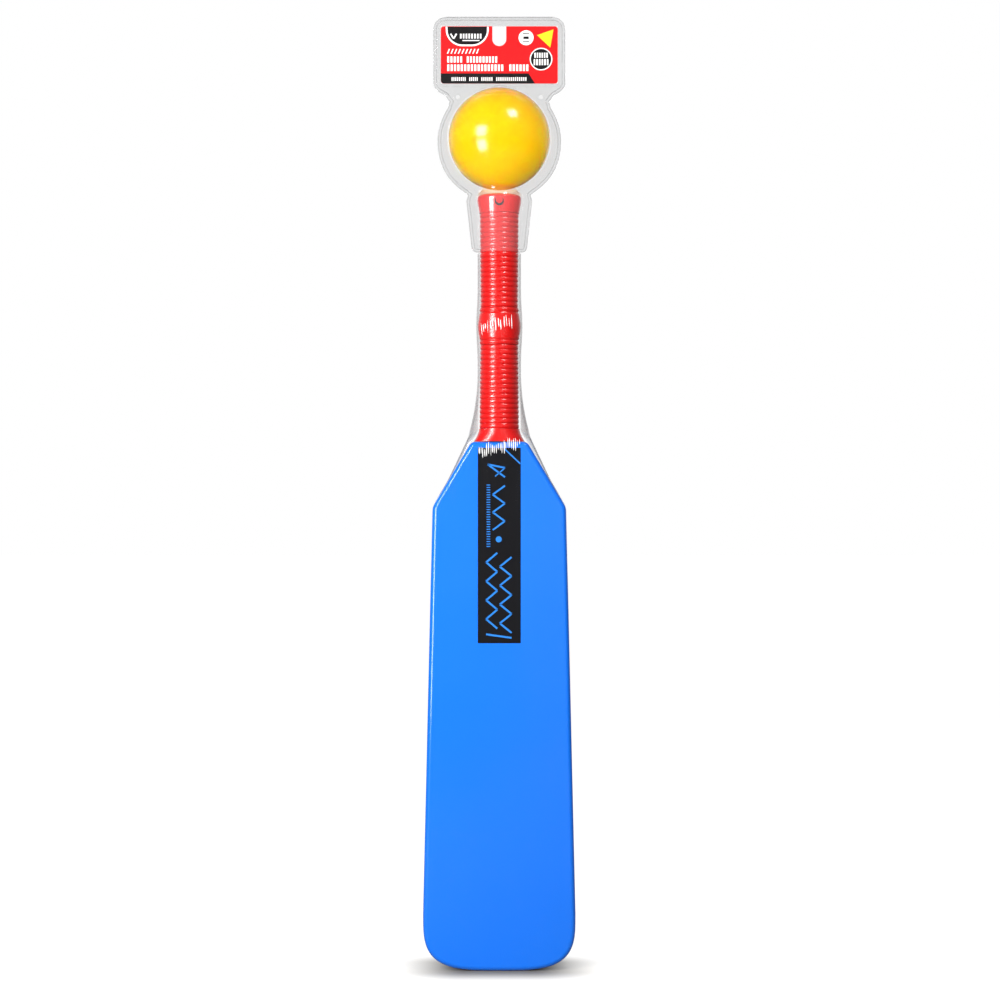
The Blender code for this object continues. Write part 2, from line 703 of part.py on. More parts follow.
def slot_outline():
    """The hang slot, round at the bottom."""
    half, round_end = SLOT_HALF_WIDTH, SLOT_HALF_WIDTH - GAP / 10
    low, top = CARD_TOP - SLOT_DEPTH, CARD_TOP - GAP
    return rounded([(-half, low, round_end), (half, low, round_end),
                    (half, top, SLOT_TOP_CORNER), (-half, top, SLOT_TOP_CORNER)], 2 * CORNER_STEPS)


def at_snap(name, spot, radius, near, far):
    """A cylinder on one press snap's axis; spot is -1 on the left and 1 on the right."""
    x = SNAP_SPREAD * spot
    return rod(f"{name}_{'left' if spot < 0 else 'right'}", radius, (x, near, SNAP_HEIGHT),
               (x, far, SNAP_HEIGHT), SNAP_STEPS)


def form_shell(name, side, clear):
    """The outside of one sheet, with solid insides: flange, raised steps, dome and neck."""
    outline = panel_outline()
    step = inset(outline, STEP_INSET)
    face = GAP / 2 + SHEET
    shell = slab(name, outline, -FLANGE_BEHIND * side, face * side, clear)
    steps = {"tray": clipped(step, SHELF, True), "body": clipped(step, SHELF - SHELF_WIDTH, False)}
    for label, shape in steps.items():
        raised = slab(f"{name}_{label}", shape, -STEP_BEHIND * side, (face + STEP_RISE) * side)
        combine(shell, raised, "UNION")
    return combine(shell, shell_turning(f"{name}_round_out", SHEET), "UNION")


def hollow_shell(shell, side):
    """Cut the insides and the press snaps' wells, and keep the sheet's own side."""
    name = shell.name
    room = inset(panel_outline(), STEP_INSET + SHEET)
    roof = GAP / 2 + STEP_RISE
    tray = slab(f"{name}_tray_room", clipped(room, SHELF + SHEET, True),
                -ROOM_BEHIND * side, roof * side)
    body = slab(f"{name}_body_room", clipped(room, SHELF - SHELF_WIDTH - SHEET, False),
                -ROOM_BEHIND * side, roof * side)
    for spot in (-1, 1):
        combine(body, at_snap(f"{name}_cup", spot, SNAP_RADIUS + SHEET,
                              -CUP_BEHIND * side, CUP_REACH * side), "DIFFERENCE")
        combine(shell, at_snap(f"{name}_well", spot, SNAP_RADIUS,
                               (GAP / 2 + SHEET) * side, CUP_REACH * side), "DIFFERENCE")
    for cutter in (tray, body, shell_turning(f"{name}_round_in", 0)):
        combine(shell, cutter, "DIFFERENCE")
    combine(shell, slab(f"{name}_slot", slot_outline(), -SLOT_REACH, SLOT_REACH), "DIFFERENCE")
    reach = 2 * PANEL_HALF_WIDTH
    low, high = MOUTH_LOW - reach, PANEL_TOP + reach
    own_side = slab(f"{name}_side", [(-reach, low), (reach, low), (reach, high), (-reach, high)],
                    GAP / 2 * side, reach * side)
    return combine(shell, own_side, "INTERSECT")


def make_back_shell(clear):
    """The rear sheet, with a hole in the floor of each snap."""
    shell = hollow_shell(form_shell("blister_back", 1, clear), 1)
    for spot in (-1, 1):
        combine(shell, at_snap("blister_back_hole", spot, SNAP_STUD_RADIUS + GAP,
                               -CUP_REACH / 2, CUP_REACH / 2), "DIFFERENCE")
    return shell


def make_front_shell(clear):
    """The front sheet, with a stud on each snap that enters the rear sheet's hole."""
    shell = hollow_shell(form_shell("blister_front", -1, clear), -1)
    for spot in (-1, 1):
        combine(shell, at_snap("blister_front_stud", spot, SNAP_STUD_RADIUS,
                               -(GAP + SHEET) / 2, GAP + SHEET), "UNION")
    return shell


def make_card():
    """The printed header card, notched by the hang slot."""
    half, notch = CARD_HALF_WIDTH, SLOT_HALF_WIDTH + GAP
    low = CARD_TOP - SLOT_DEPTH - GAP
    outline = rounded([
        (-half, CARD_LOW, CARD_CORNER), (half, CARD_LOW, CARD_CORNER),
        (half, CARD_TOP, CARD_CORNER), (notch, CARD_TOP, 0),
        (notch, low, notch - GAP / 10), (-notch, low, notch - GAP / 10),
        (-notch, CARD_TOP, 0), (-half, CARD_TOP, CARD_CORNER),
    ], 2 * CORNER_STEPS)
    behind = GAP / 2 + STEP_RISE - GAP
    return slab("header_card", outline, behind - CARD_THICKNESS, behind,
                material("card_red", (246, 44, 44), 0.5))


def make_ball():
    """The soft ball in its dome."""
    mesh = bmesh.new()
    bmesh.ops.create_uvsphere(mesh, u_segments=TURNED_STEPS, v_segments=BALL_RINGS,
                              radius=BALL_RADIUS)
    bmesh.ops.translate(mesh, verts=mesh.verts, vec=(0, 0, BALL_CENTRE))
    return finish("ball", mesh, material("ball_yellow", (253, 226, 5), 0.25))


def make_clamshell(bat):
    """Both shells, the card and the ball on their pivots."""
    clear = material("clear_sheet", (225, 228, 232), 0.08, 0.3)
    carrier = pivot("carrier", BALL_CENTRE, bat)
    fold = pivot("front_shell", PANEL_TOP, carrier)
    ball_centre = pivot("ball_pivot", BALL_CENTRE, carrier)
    hang(make_back_shell(clear), carrier, BALL_CENTRE)
    hang(make_card(), carrier, BALL_CENTRE)
    hang(make_front_shell(clear), fold, PANEL_TOP)
    hang(make_ball(), ball_centre, BALL_CENTRE)


def main():
    """Build the whole set."""
    clear_scene()
    bat = pivot("bat", 0.0)
    make_blade(bat)
    make_tube(bat)
    make_handle(bat)
    make_film(bat)
    make_clamshell(bat)


main()
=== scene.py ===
"""Looks of a child's foam cricket bat set: bat, film, clear clamshell, soft ball and card.

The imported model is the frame. Sizes are in metres, +Z runs up the handle and the face
looks along -Y.
"""

import logging
import math
from dataclasses import dataclass, field, replace
from enum import Enum
from typing import Sequence

import bmesh
import bpy
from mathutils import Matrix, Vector


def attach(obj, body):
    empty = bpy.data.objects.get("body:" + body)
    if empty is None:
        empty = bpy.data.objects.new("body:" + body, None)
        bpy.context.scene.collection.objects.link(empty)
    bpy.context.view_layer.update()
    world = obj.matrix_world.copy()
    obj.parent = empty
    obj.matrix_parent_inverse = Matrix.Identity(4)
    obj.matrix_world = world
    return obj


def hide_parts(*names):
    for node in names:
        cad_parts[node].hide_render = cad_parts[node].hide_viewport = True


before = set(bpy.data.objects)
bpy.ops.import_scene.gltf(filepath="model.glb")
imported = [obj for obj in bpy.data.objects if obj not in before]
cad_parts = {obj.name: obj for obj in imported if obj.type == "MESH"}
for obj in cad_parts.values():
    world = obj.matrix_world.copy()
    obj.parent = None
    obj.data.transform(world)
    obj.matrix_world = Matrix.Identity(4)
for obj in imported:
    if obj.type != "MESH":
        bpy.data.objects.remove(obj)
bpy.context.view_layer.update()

log = logging.getLogger("bat_set")

MM = 0.001
FULL_TURN = 2 * math.pi
QUARTER_TURN = math.pi / 2
BLADE_LENGTH = 370.9 * MM
BLADE_HALF_DEPTH = 14.0 * MM
BLADE_TOP_HALF = 19.5 * MM
HANDLE_BORE = 9.8 * MM
HANDLE_CLOSE = 0.12 * MM
HANDLE_FACETS = 96
RIB_DEPTH = 0.5 * MM
RIB_SHARPNESS = 2.2
BALL_CENTRE = 584.9 * MM
CARD_LOW = 624.1 * MM
CARD_HIGH = 664.6 * MM
CARD_HALF = 41.3 * MM
MERGE_REACH = 1e-6
FLAT_DEGREES = 0.5
SHARP_DEGREES = 35.0
FOLD_DEGREES = 40.0
RIB_DEGREES = 50.0
ROUND_DEGREES = 80.0
WHITE = (1.0, 1.0, 1.0, 1.0)

Point = tuple[float, float, float]
Flat = tuple[float, float]
Ring = list[Point]
Outline = list[Flat]
Tone = tuple[int, int, int]


class Body(Enum):
    """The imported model's moving bodies."""

    BAT = "bat"
    CARRIER = "carrier"
    FRONT_SHELL = "front_shell"
    BALL = "ball"


class Slot(Enum):
    """Material slot names for the built pieces."""

    SKIN = "blade_skin"
    LABEL = "label_vinyl"
    GRIP = "grip_rubber"
    FILM = "shrink_film"
    SHEET = "clear_sheet"
    CARD = "card_board"
    BALL = "ball_skin"


# Node trees

def linear(red: int, green: int, blue: int) -> tuple[float, float, float, float]:
    """Turn a display colour into a linear one.

    Args:
        red, green, blue: Channels from 0 to 255.

    Returns:
        The linear colour with full alpha.
    """
    def one(channel: int) -> float:
        """Linear value of one channel."""
        value = channel / 255
        return value / 12.92 if value <= 0.04045 else ((value + 0.055) / 1.055) ** 2.4

    return one(red), one(green), one(blue), 1.0


class Signal:
    """What one output socket carries. Reckoning with it places Math nodes."""

    def __init__(self, board: "Board", socket: bpy.types.NodeSocket) -> None:
        """Hold a socket of this board."""
        self.board, self.socket = board, socket

    def __add__(self, other: object) -> "Signal":
        """It and another together."""
        return self.board.math("ADD", self, other)

    def __sub__(self, other: object) -> "Signal":
        """It less another."""
        return self.board.math("SUBTRACT", self, other)

    def __rsub__(self, other: object) -> "Signal":
        """A number less it."""
        return self.board.math("SUBTRACT", other, self)

    def __mul__(self, other: object) -> "Signal":
        """It times another."""
        return self.board.math("MULTIPLY", self, other)

    def __truediv__(self, other: object) -> "Signal":
        """It divided by another."""
        return self.board.math("DIVIDE", self, other)

    def __pow__(self, power: object) -> "Signal":
        """It raised to a power."""
        return self.board.math("POWER", self, power)

    def __gt__(self, other: object) -> "Signal":
        """1 where it is over another, and 0 elsewhere."""
        return self.board.math("GREATER_THAN", self, other)

    def __lt__(self, other: object) -> "Signal":
        """1 where it is under another, and 0 elsewhere."""
        return self.board.math("LESS_THAN", self, other)

    def __abs__(self) -> "Signal":
        """Its size without its sign."""
        return self.board.math("ABSOLUTE", self)


class Placed:
    """A placed node, whose outputs are read as signals."""

    def __init__(self, board: "Board", node: bpy.types.Node) -> None:
        """Hold a node of this board."""
        self.board, self.node = board, node

    def __getitem__(self, key: str | int) -> Signal:
        """The signal of one output, by its name or index."""
        return Signal(self.board, self.node.outputs[key])


class Board:
    """A short way to place and wire nodes in one tree."""

    def __init__(self, tree: bpy.types.NodeTree) -> None:
        """Work on this tree."""
        self.tree = tree

    def feed(self, node: bpy.types.Node, feeds: dict) -> None:
        """Set or wire a node's inputs.

        Args:
            node: The node.
            feeds: Input name or index to a value or a signal.
        """
        for key, value in feeds.items():
            if isinstance(value, Signal):
                self.tree.links.new(value.socket, node.inputs[key])
            else:
                node.inputs[key].default_value = value

    def put(self, kind: str, feeds: dict | None = None, **settings: object) -> Placed:
        """Add a node.

        Args:
            kind: The node's type name.
            feeds: Input name or index to a value or a signal.
            settings: Properties of the node.

        Returns:
            The placed node.
        """
        node = self.tree.nodes.new(kind)
        for key, value in settings.items():
            setattr(node, key, value)
        self.feed(node, feeds or {})
        return Placed(self, node)

    def group(self, tree: bpy.types.NodeTree, feeds: dict | None = None) -> Placed:
        """Add a shared shader group."""
        return self.put("ShaderNodeGroup", feeds, node_tree=tree)

    def math(self, operation: str, *values: object) -> Signal:
        """Add a Math node on numbers or signals, in order."""
        return self.put("ShaderNodeMath", dict(enumerate(values)), operation=operation)[0]

    def vector(self, operation: str, *values: object, output: str | int = 0) -> Signal:
        """Add a Vector Math node on vectors or signals, in order."""
        placed = self.put("ShaderNodeVectorMath", dict(enumerate(values)), operation=operation)
        return placed[output]

    def place(self, output: str = "Object") -> Signal:
        """The place on the object, or its normal there."""
        return self.put("ShaderNodeTexCoord")[output]

    def split(self, vector: Signal) -> tuple[Signal, Signal, Signal]:
        """The three parts of a vector."""
        parts = self.put("ShaderNodeSeparateXYZ", {0: vector})
        return parts[0], parts[1], parts[2]

    def ramp(self, value: Signal, low: object, high: object) -> Signal:
        """0 at a low value, rising to 1 at a high one."""
        return self.put("ShaderNodeMapRange", {0: value, 1: low, 2: high}, clamp=True)[0]

    def noise(self, place: Signal, scale: object, **feeds: float) -> Signal:
        """Cloudy noise from 0 to 1 at a place."""
        return self.put("ShaderNodeTexNoise", {"Vector": place, "Scale": scale, **feeds})["Fac"]

    def tint(self, share: object, first: object, second: object, blend: str = "MIX") -> Signal:
        """Add a colour Mix node.

        Args:
            share: How much of the second colour.
            first, second: Colours or signals.
            blend: The blend mode.

        Returns:
            The mixed colour.
        """
        return self.put("ShaderNodeMix", {0: share, 6: first, 7: second}, data_type="RGBA",
                        blend_type=blend)[2]

    def finish(self, **results: Signal) -> bpy.types.NodeTree:
        """Wire a group's outputs.

        Args:
            results: Output name to signal.

        Returns:
            The finished tree.
        """
        self.put("NodeGroupOutput", results)
        return self.tree


def new_group(kind: str, name: str, inputs: dict[str, object],
              outputs: dict[str, str]) -> tuple[Board, Placed]:
    """Start a node group with named sockets.

    Args:
        kind: The tree's type name.
        name: The group's name.
        inputs: Input name to its default, or to its socket kind where it has none.
        outputs: Output name to socket kind.

    Returns:
        The board and the group's inputs.
    """
    tree = bpy.data.node_groups.new(name, kind)
    for label, default in inputs.items():
        if isinstance(default, str):
            socket = default
        elif isinstance(default, tuple):
            socket = "Color" if len(default) == 4 else "Vector"
        else:
            socket = "Int" if isinstance(default, int) else "Float"
        made = tree.interface.new_socket(label, in_out="INPUT", socket_type=f"NodeSocket{socket}")
        if not isinstance(default, str):
            made.default_value = default
    for label, socket in outputs.items():
        tree.interface.new_socket(label, in_out="OUTPUT", socket_type=f"NodeSocket{socket}")
    board = Board(tree)
    return board, board.put("NodeGroupInput")


def new_finish(name: str) -> tuple[bpy.types.Material, Board, bpy.types.Node]:
    """Start a material.

    Args:
        name: Its name.

    Returns:
        The material, its board and its main shader.
    """
    made = bpy.data.materials.new(name)
    made.use_nodes = True
    return made, Board(made.node_tree), made.node_tree.nodes["Principled BSDF"]


def mottle_group() -> bpy.types.NodeTree:
    """Cloudy variation of a colour, as moulded plastic and foam show it.

    Returns:
        A group from a colour, scale and strength to a colour and a mask.
    """
    board, given = new_group(
        "ShaderNodeTree", "mottle",
        {"Colour": (0.5, 0.5, 0.5, 1.0), "Scale": 40.0, "Strength": 0.05},
        {"Colour": "Color", "Mask": "Float"})
    mask = board.noise(board.place(), given["Scale"], Detail=4.0, Roughness=0.6)
    gain = (mask - 0.5) * given["Strength"] + 1.0
    grey = board.put("ShaderNodeCombineColor", {0: gain, 1: gain, 2: gain})[0]
    return board.finish(Colour=board.tint(1.0, given["Colour"], grey, "MULTIPLY"), Mask=mask)


def grain_group() -> bpy.types.NodeTree:
    """Fine surface grain: closed cells or pores over a slow ripple.

    Returns:
        A group from a cell size and shares to a height.
    """
    board, given = new_group(
        "ShaderNodeTree", "grain",
        {"Scale": 900.0, "Cells": 0.5, "Ripple Scale": 30.0, "Ripple": 0.5, "Dust": 0.4},
        {"Height": "Float"})
    place = board.place()
    cells = board.put("ShaderNodeTexVoronoi", {"Vector": place, "Scale": given["Scale"]})
    pores = cells["Distance"] * given["Cells"]
    dust = board.noise(place, given["Scale"], Detail=3.0) * given["Dust"]
    waves = board.noise(place, given["Ripple Scale"]) * given["Ripple"]
    return board.finish(Height=pores + dust + waves)


def scuff_group() -> bpy.types.NodeTree:
    """Sparse fine rub marks that change the gloss.

    Returns:
        A group from a stretch and an amount to a mask.
    """
    board, given = new_group(
        "ShaderNodeTree", "scuffs",
        {"Stretch": (300.0, 300.0, 20.0), "Amount": 0.1, "Low": 0.72, "High": 0.8},
        {"Mask": "Float"})
    drawn = board.vector("MULTIPLY", board.place(), given["Stretch"])
    lines = board.noise(drawn, 1.0, Detail=5.0)
    return board.finish(Mask=board.ramp(lines, given["Low"] - given["Amount"], given["High"]))


def crinkle_group() -> bpy.types.NodeTree:
    """Pulled folds of thin film: long soft creases along the handle.

    Returns:
        A group from scales and a mix to a height and a haze mask.
    """
    board, given = new_group(
        "ShaderNodeTree", "crinkle",
        {"Along": (160.0, 160.0, 14.0), "Across": (40.0, 40.0, 220.0), "Mix": 0.3,
         "Haze Low": 0.58, "Haze High": 0.72},
        {"Height": "Float", "Haze": "Float"})
    place = board.place()
    along, across = (board.noise(board.vector("MULTIPLY", place, given[label]), 1.0,
                                 Detail=2.0, Distortion=0.6) for label in ("Along", "Across"))
    return board.finish(Height=between(given["Mix"], along, across),
                        Haze=board.ramp(along, given["Haze Low"], given["Haze High"]))


def zone_group() -> bpy.types.NodeTree:
    """Zones of the formed sheets: the flange beside the card, the neck and the waist, where a
    reflection of the ball is painted in.

    Returns:
        A group to a mask of each.
    """
    board, given = new_group(
        "ShaderNodeTree", "sheet_zones",
        {"Flat Depth": 2.6 * MM, "Upright": 0.9, "Card Half": CARD_HALF, "Card Low": CARD_LOW,
         "Card High": CARD_HIGH, "Neck Top": 548.0 * MM, "Neck Fade": 4.0 * MM,
         "Waist": 547.2 * MM, "Waist Reach": 4.0 * MM},
        {"Flat": "Float", "Neck": "Float", "Waist": "Float"})
    x, y, z = board.split(board.place())
    upright = abs(board.split(board.place("Normal"))[1]) > given["Upright"]
    shallow = abs(y) < given["Flat Depth"]
    card = (abs(x) < given["Card Half"]) * (z > given["Card Low"]) * (z < given["Card High"])
    formed = 1.0 - shallow
    low = board.ramp(z, given["Neck Top"], given["Neck Top"] - given["Neck Fade"])
    near = 1.0 - abs(z - given["Waist"]) / given["Waist Reach"]
    return board.finish(Flat=shallow * upright * (1.0 - card), Neck=low * formed,
                        Waist=board.math("MAXIMUM", near, 0.0) * formed)


def film_group() -> bpy.types.NodeTree:
    """Zones of the film: beside the handle's foot and the shoulders, and off the blade's sides.

    Returns:
        A group to a mask of the free film and the share of the film that shows.
    """
    board, given = new_group(
        "ShaderNodeTree", "film_zones",
        {"Blade Top": BLADE_LENGTH, "Blade Half": BLADE_TOP_HALF, "Blade Slope": 0.597,
         "Handle Half": 14.6 * MM, "Blur": 1.2 * MM, "Flare Top": 430.0 * MM,
         "Flare Fade": 25.0 * MM, "Clings": 326.0 * MM, "Cling Fade": 12.0 * MM},
        {"Beside": "Float", "Shows": "Float"})
    x, _, z = board.split(board.place())
    shoulder = given["Blade Half"] + (given["Blade Top"] - z) * given["Blade Slope"]
    inside = board.math("MAXIMUM", shoulder, given["Handle Half"])
    free = board.ramp(abs(x) - inside, 0.0, given["Blur"])
    low = board.ramp(z, given["Flare Top"], given["Flare Top"] - given["Flare Fade"])
    shows = board.ramp(z, given["Clings"], given["Clings"] + given["Cling Fade"])
    return board.finish(Beside=free * low, Shows=shows)


def rib_group() -> bpy.types.NodeTree:
    """Grooves of a ribbed sleeve, counted down from its top, where shade is painted in and the coat
    thins.

    Returns:
        A group from the top's height, the pitch and a smooth length to a groove mask.
    """
    board, given = new_group(
        "ShaderNodeTree", "rib_grooves",
        {"Top": 0.5, "Pitch": 3.4 * MM, "Smooth Low": 0.0, "Smooth High": 0.0},
        {"Mask": "Float"})
    height = board.split(board.place())[2]
    turns = (given["Top"] - height) / given["Pitch"]
    wave = board.math("COSINE", turns * FULL_TURN) * 0.5 + 0.5
    smooth = (height > given["Smooth Low"]) * (height < given["Smooth High"])
    groove = board.math("MAXIMUM", wave, 0.0) ** RIB_SHARPNESS
    return board.finish(Mask=groove * (1.0 - smooth))


def between(share: Signal, first: Signal, second: Signal) -> Signal:
    """Mix two signals, where a share of 1 is the second."""
    return first + (second - first) * share


@dataclass
class SurfaceGroups:
    """The shared shader groups, each built once."""

    mottle: bpy.types.NodeTree = field(default_factory=mottle_group)
    grain: bpy.types.NodeTree = field(default_factory=grain_group)
    scuffs: bpy.types.NodeTree = field(default_factory=scuff_group)
    crinkle: bpy.types.NodeTree = field(default_factory=crinkle_group)
    zones: bpy.types.NodeTree = field(default_factory=zone_group)
    ribs: bpy.types.NodeTree = field(default_factory=rib_group)
    film: bpy.types.NodeTree = field(default_factory=film_group)


GROUPS = SurfaceGroups()


# Finishes

@dataclass(frozen=True)
class MouldedFinish:
    """An opaque moulded, coated or printed surface."""

    name: str
    colour: Tone
    roughness: float = 0.4
    mottle: float = 0.06
    mottle_scale: float = 45.0
    grain_scale: float = 900.0
    cells: float = 0.4
    ripple: float = 0.4
    ripple_scale: float = 30.0
    bump: float = 0.1
    bump_depth: float = 0.0002
    scuff: float = 0.05
    coat: float = 0.0
    coat_roughness: float = 0.08
    specular: float = 0.5
    uneven_gloss: float = 0.12
    rubbed_gloss: float = 0.15
    soft: float = 0.0
    soft_reach: float = 24 * MM
    soft_colours: Point = (1.0, 0.3, 0.05)
    rib_top: float = 0.0
    rib_pitch: float = 0.0
    rib_gap: Flat = (0.0, 0.0)
    painted_groove_shade: float = 0.7
    groove_shade_colour: Tone = (190, 2, 4)

    def build(self) -> bpy.types.Material:
        """Make the material.

        Returns:
            The new material.
        """
        made, board, shader = new_finish(self.name)
        tone = board.group(GROUPS.mottle, {
            "Colour": linear(*self.colour), "Scale": self.mottle_scale, "Strength": self.mottle})
        marks = board.group(GROUPS.scuffs, {"Amount": self.scuff})["Mask"]
        grain = board.group(GROUPS.grain, {
            "Scale": self.grain_scale, "Cells": self.cells, "Ripple": self.ripple,
            "Ripple Scale": self.ripple_scale})["Height"]
        uneven = (tone["Mask"] - 0.5) * self.uneven_gloss
        colour, coat = tone["Colour"], self.coat
        if self.rib_pitch:
            grooves = board.group(GROUPS.ribs, {
                "Top": self.rib_top, "Pitch": self.rib_pitch, "Smooth Low": self.rib_gap[0],
                "Smooth High": self.rib_gap[1]})["Mask"]
            # Painted shade: the grooves are tinted darker and deeper red, where shade falls between
            # the ribs.
            colour = board.tint(grooves * self.painted_groove_shade, colour, linear(*self.groove_shade_colour))
            coat = (1.0 - grooves) * self.coat
        board.feed(shader, {
            "Base Color": colour, "Metallic": 0.0, "Coat Weight": coat,
            "Roughness": uneven + marks * self.rubbed_gloss + self.roughness,
            "Normal": board.put("ShaderNodeBump", {
                "Strength": self.bump, "Distance": self.bump_depth, "Height": grain})[0],
            "Coat Roughness": self.coat_roughness, "Specular IOR Level": self.specular})
        if self.soft:
            board.feed(shader, {"Subsurface Weight": self.soft, "Subsurface Scale": self.soft_reach,
                                "Subsurface Radius": self.soft_colours})
        return made


@dataclass(frozen=True)
class ClearFinish:
    """Clear sheet or film: nearly nothing face on, paler at a slant."""

    name: str
    colour: Tone
    face_alpha: float = 0.1
    edge_alpha: float = 0.6
    haze_alpha: float = 0.05
    haze_gloss: float = 0.1
    roughness: float = 0.08
    bump: float = 0.2
    bump_depth: float = 0.0004
    along: Point = (160.0, 160.0, 14.0)
    across: Point = (40.0, 40.0, 220.0)
    cross_share: float = 0.3
    edge_power: float = 2.5
    flat_alpha: float = 0.0
    flat_colour: Tone = (120, 122, 126)
    neck_alpha: float = 0.0
    neck_colour: Tone = (200, 202, 206)
    # The waist band is a painted reflection of the ball in the sheet.
    reflection_band_alpha: float = 0.0
    painted_reflection_colour: Tone = (255, 186, 76)
    reflection_band_spread: float = 3.0
    beside_alpha: float = 0.0
    gloss_ior: float = 2.4
    shade_share: float = 0.2

    def build(self) -> bpy.types.Material:
        """Make the material.

        Returns:
            The new material.
        """
        made, board, shader = new_finish(self.name)
        colour = board.group(GROUPS.mottle, {"Colour": linear(*self.colour)})["Colour"]
        folds = board.group(GROUPS.crinkle, {
            "Along": self.along, "Across": self.across, "Mix": self.cross_share})
        slant = board.put("ShaderNodeLayerWeight", {"Blend": 0.5})["Facing"]
        edge = slant ** self.edge_power * (self.edge_alpha - self.face_alpha)
        cover = edge + folds["Haze"] * self.haze_alpha + self.face_alpha
        if self.flat_alpha or self.neck_alpha:
            zones = board.group(GROUPS.zones)
            cover += (zones["Flat"] * self.flat_alpha + zones["Neck"] * self.neck_alpha
                      + zones["Waist"] * self.reflection_band_alpha)
            # Painted reflection: round the dome's waist the sheet takes the ball's orange, standing
            # in for the ball seen in the curved plastic.
            reflection_share = board.math("MINIMUM", zones["Waist"] * self.reflection_band_spread, 1.0)
            for share, tone in ((zones["Flat"], self.flat_colour),
                                (zones["Neck"], self.neck_colour), (reflection_share, self.painted_reflection_colour)):
                colour = board.tint(share, colour, linear(*tone))
        if self.beside_alpha:
            film = board.group(GROUPS.film)
            cover = (cover + film["Beside"] * self.beside_alpha) * film["Shows"]
        to_lamp = board.put("ShaderNodeLightPath")["Is Shadow Ray"]
        board.feed(shader, {
            "Base Color": colour, "Metallic": 0.0, "IOR": self.gloss_ior,
            "Alpha": cover * (1.0 - to_lamp * (1.0 - self.shade_share)),
            "Roughness": folds["Haze"] * self.haze_gloss + self.roughness,
            "Normal": board.put("ShaderNodeBump", {
                "Strength": self.bump, "Distance": self.bump_depth, "Height": folds["Height"]})[0],
            "Coat Weight": 1.0, "Coat IOR": self.gloss_ior, "Coat Roughness": self.roughness})
        return made


BLADE_BLUE = MouldedFinish("blade_blue_foam", (16, 122, 252), roughness=0.34, mottle=0.04,
                           mottle_scale=28.0, grain_scale=1400.0, ripple=1.2, ripple_scale=60.0,
                           bump=0.08, scuff=0.04, specular=0.2, coat=1.0, coat_roughness=0.1)
FOAM_WHITE = MouldedFinish("core_foam", (236, 236, 228), roughness=0.9, grain_scale=600.0,
                           cells=1.2, bump=0.5, bump_depth=0.0005)
PANEL_BLACK = MouldedFinish("panel_black_vinyl", (19, 19, 23), roughness=0.4, mottle=0.12,
                            grain_scale=2000.0, bump=0.05, specular=0.2)
PANEL_BLUE = MouldedFinish("panel_blue_ink", (44, 134, 228), roughness=0.4, mottle=0.1,
                           mottle_scale=220.0, bump=0.05, specular=0.2)
GRIP_RED = MouldedFinish("grip_red_rubber", (232, 14, 14), roughness=0.3, mottle=0.1,
                         mottle_scale=120.0, grain_scale=1600.0, bump=0.12, scuff=0.08,
                         specular=0.5, coat=1.0, coat_roughness=0.2)
# Painted shade: the colour of the dark disc at the bottom of the knob's eye.
EYE_SHADE = MouldedFinish("eye_painted_shade", (46, 36, 42), roughness=0.6, grain_scale=1600.0)
TUBE_GREY = MouldedFinish("tube_grey_plastic", (150, 152, 156), roughness=0.5)
PLUG_BLACK = MouldedFinish("plug_black_plastic", (48, 48, 52), roughness=0.6)
CARD_RED = MouldedFinish("card_red_print", (232, 14, 20), roughness=0.45, mottle=0.04,
                         grain_scale=2600.0, bump=0.05, scuff=0.0, specular=0.25)
INK_WHITE = MouldedFinish("ink_white", (252, 252, 252), roughness=0.45, mottle=0.02, bump=0.04)
INK_BLACK = MouldedFinish("ink_black", (20, 18, 20), roughness=0.4, mottle=0.06, bump=0.04,
                          specular=0.25)
INK_YELLOW = MouldedFinish("ink_yellow", (250, 220, 20), roughness=0.45, mottle=0.04, bump=0.04)
BALL_YELLOW = MouldedFinish("ball_yellow_skin", (255, 198, 0), roughness=0.24, mottle=0.03,
                            grain_scale=700.0, ripple=0.6, ripple_scale=40.0, bump=0.04,
                            scuff=0.03, specular=0.1, coat=1.0, coat_roughness=0.16, soft=1.0)
CLEAR_SHEET = ClearFinish("clear_formed_sheet", (236, 238, 240), face_alpha=0.002, edge_alpha=0.4,
                          haze_alpha=0.004, roughness=0.06, bump=0.06,
                          along=(70.0, 70.0, 50.0), across=(30.0, 30.0, 60.0), edge_power=5.0,
                          flat_alpha=0.092, neck_alpha=0.075, reflection_band_alpha=0.28)
SHEET_BEAD = ClearFinish("clear_sheet_bead", (182, 184, 188), face_alpha=0.06, edge_alpha=0.6,
                         haze_alpha=0.02, roughness=0.06, bump=0.06, edge_power=1.5)
CLEAR_FILM = ClearFinish("clear_shrunk_film", (162, 163, 167), face_alpha=0.0, edge_alpha=0.95,
                         haze_alpha=0.008, roughness=0.08, bump=0.35, edge_power=3.2,
                         beside_alpha=0.15)
# Painted highlight: the creases are real raised folds, coloured solid near-white for the light
# glinting on them.
CREASE_HIGHLIGHT = ClearFinish("film_crease_highlight", (255, 255, 255), face_alpha=0.9, edge_alpha=0.9,
                           haze_alpha=0.0, roughness=0.3, bump=0.1)


# Meshes

def shade(mesh: bpy.types.Mesh, angle: float = SHARP_DEGREES) -> bpy.types.Mesh:
    """Shade a mesh smooth between its sharp edges.

    Args:
        mesh: The mesh.
        angle: The angle in degrees past which an edge is sharp.

    Returns:
        The same mesh.
    """
    mesh.shade_smooth()
    mesh.set_sharp_from_angle(angle=math.radians(angle))
    return mesh


def to_mesh(name: str, built: bmesh.types.BMesh,
            angle: float = SHARP_DEGREES) -> bpy.types.Mesh:
    """Close a bmesh into a mesh with outward faces.

    Args:
        name: The mesh's name.
        built: The bmesh, freed here.
        angle: The sharp angle in degrees.

    Returns:
        The mesh.
    """
    bmesh.ops.recalc_face_normals(built, faces=built.faces)
    mesh = bpy.data.meshes.new(name)
    built.to_mesh(mesh)
    built.free()
    return shade(mesh, angle)


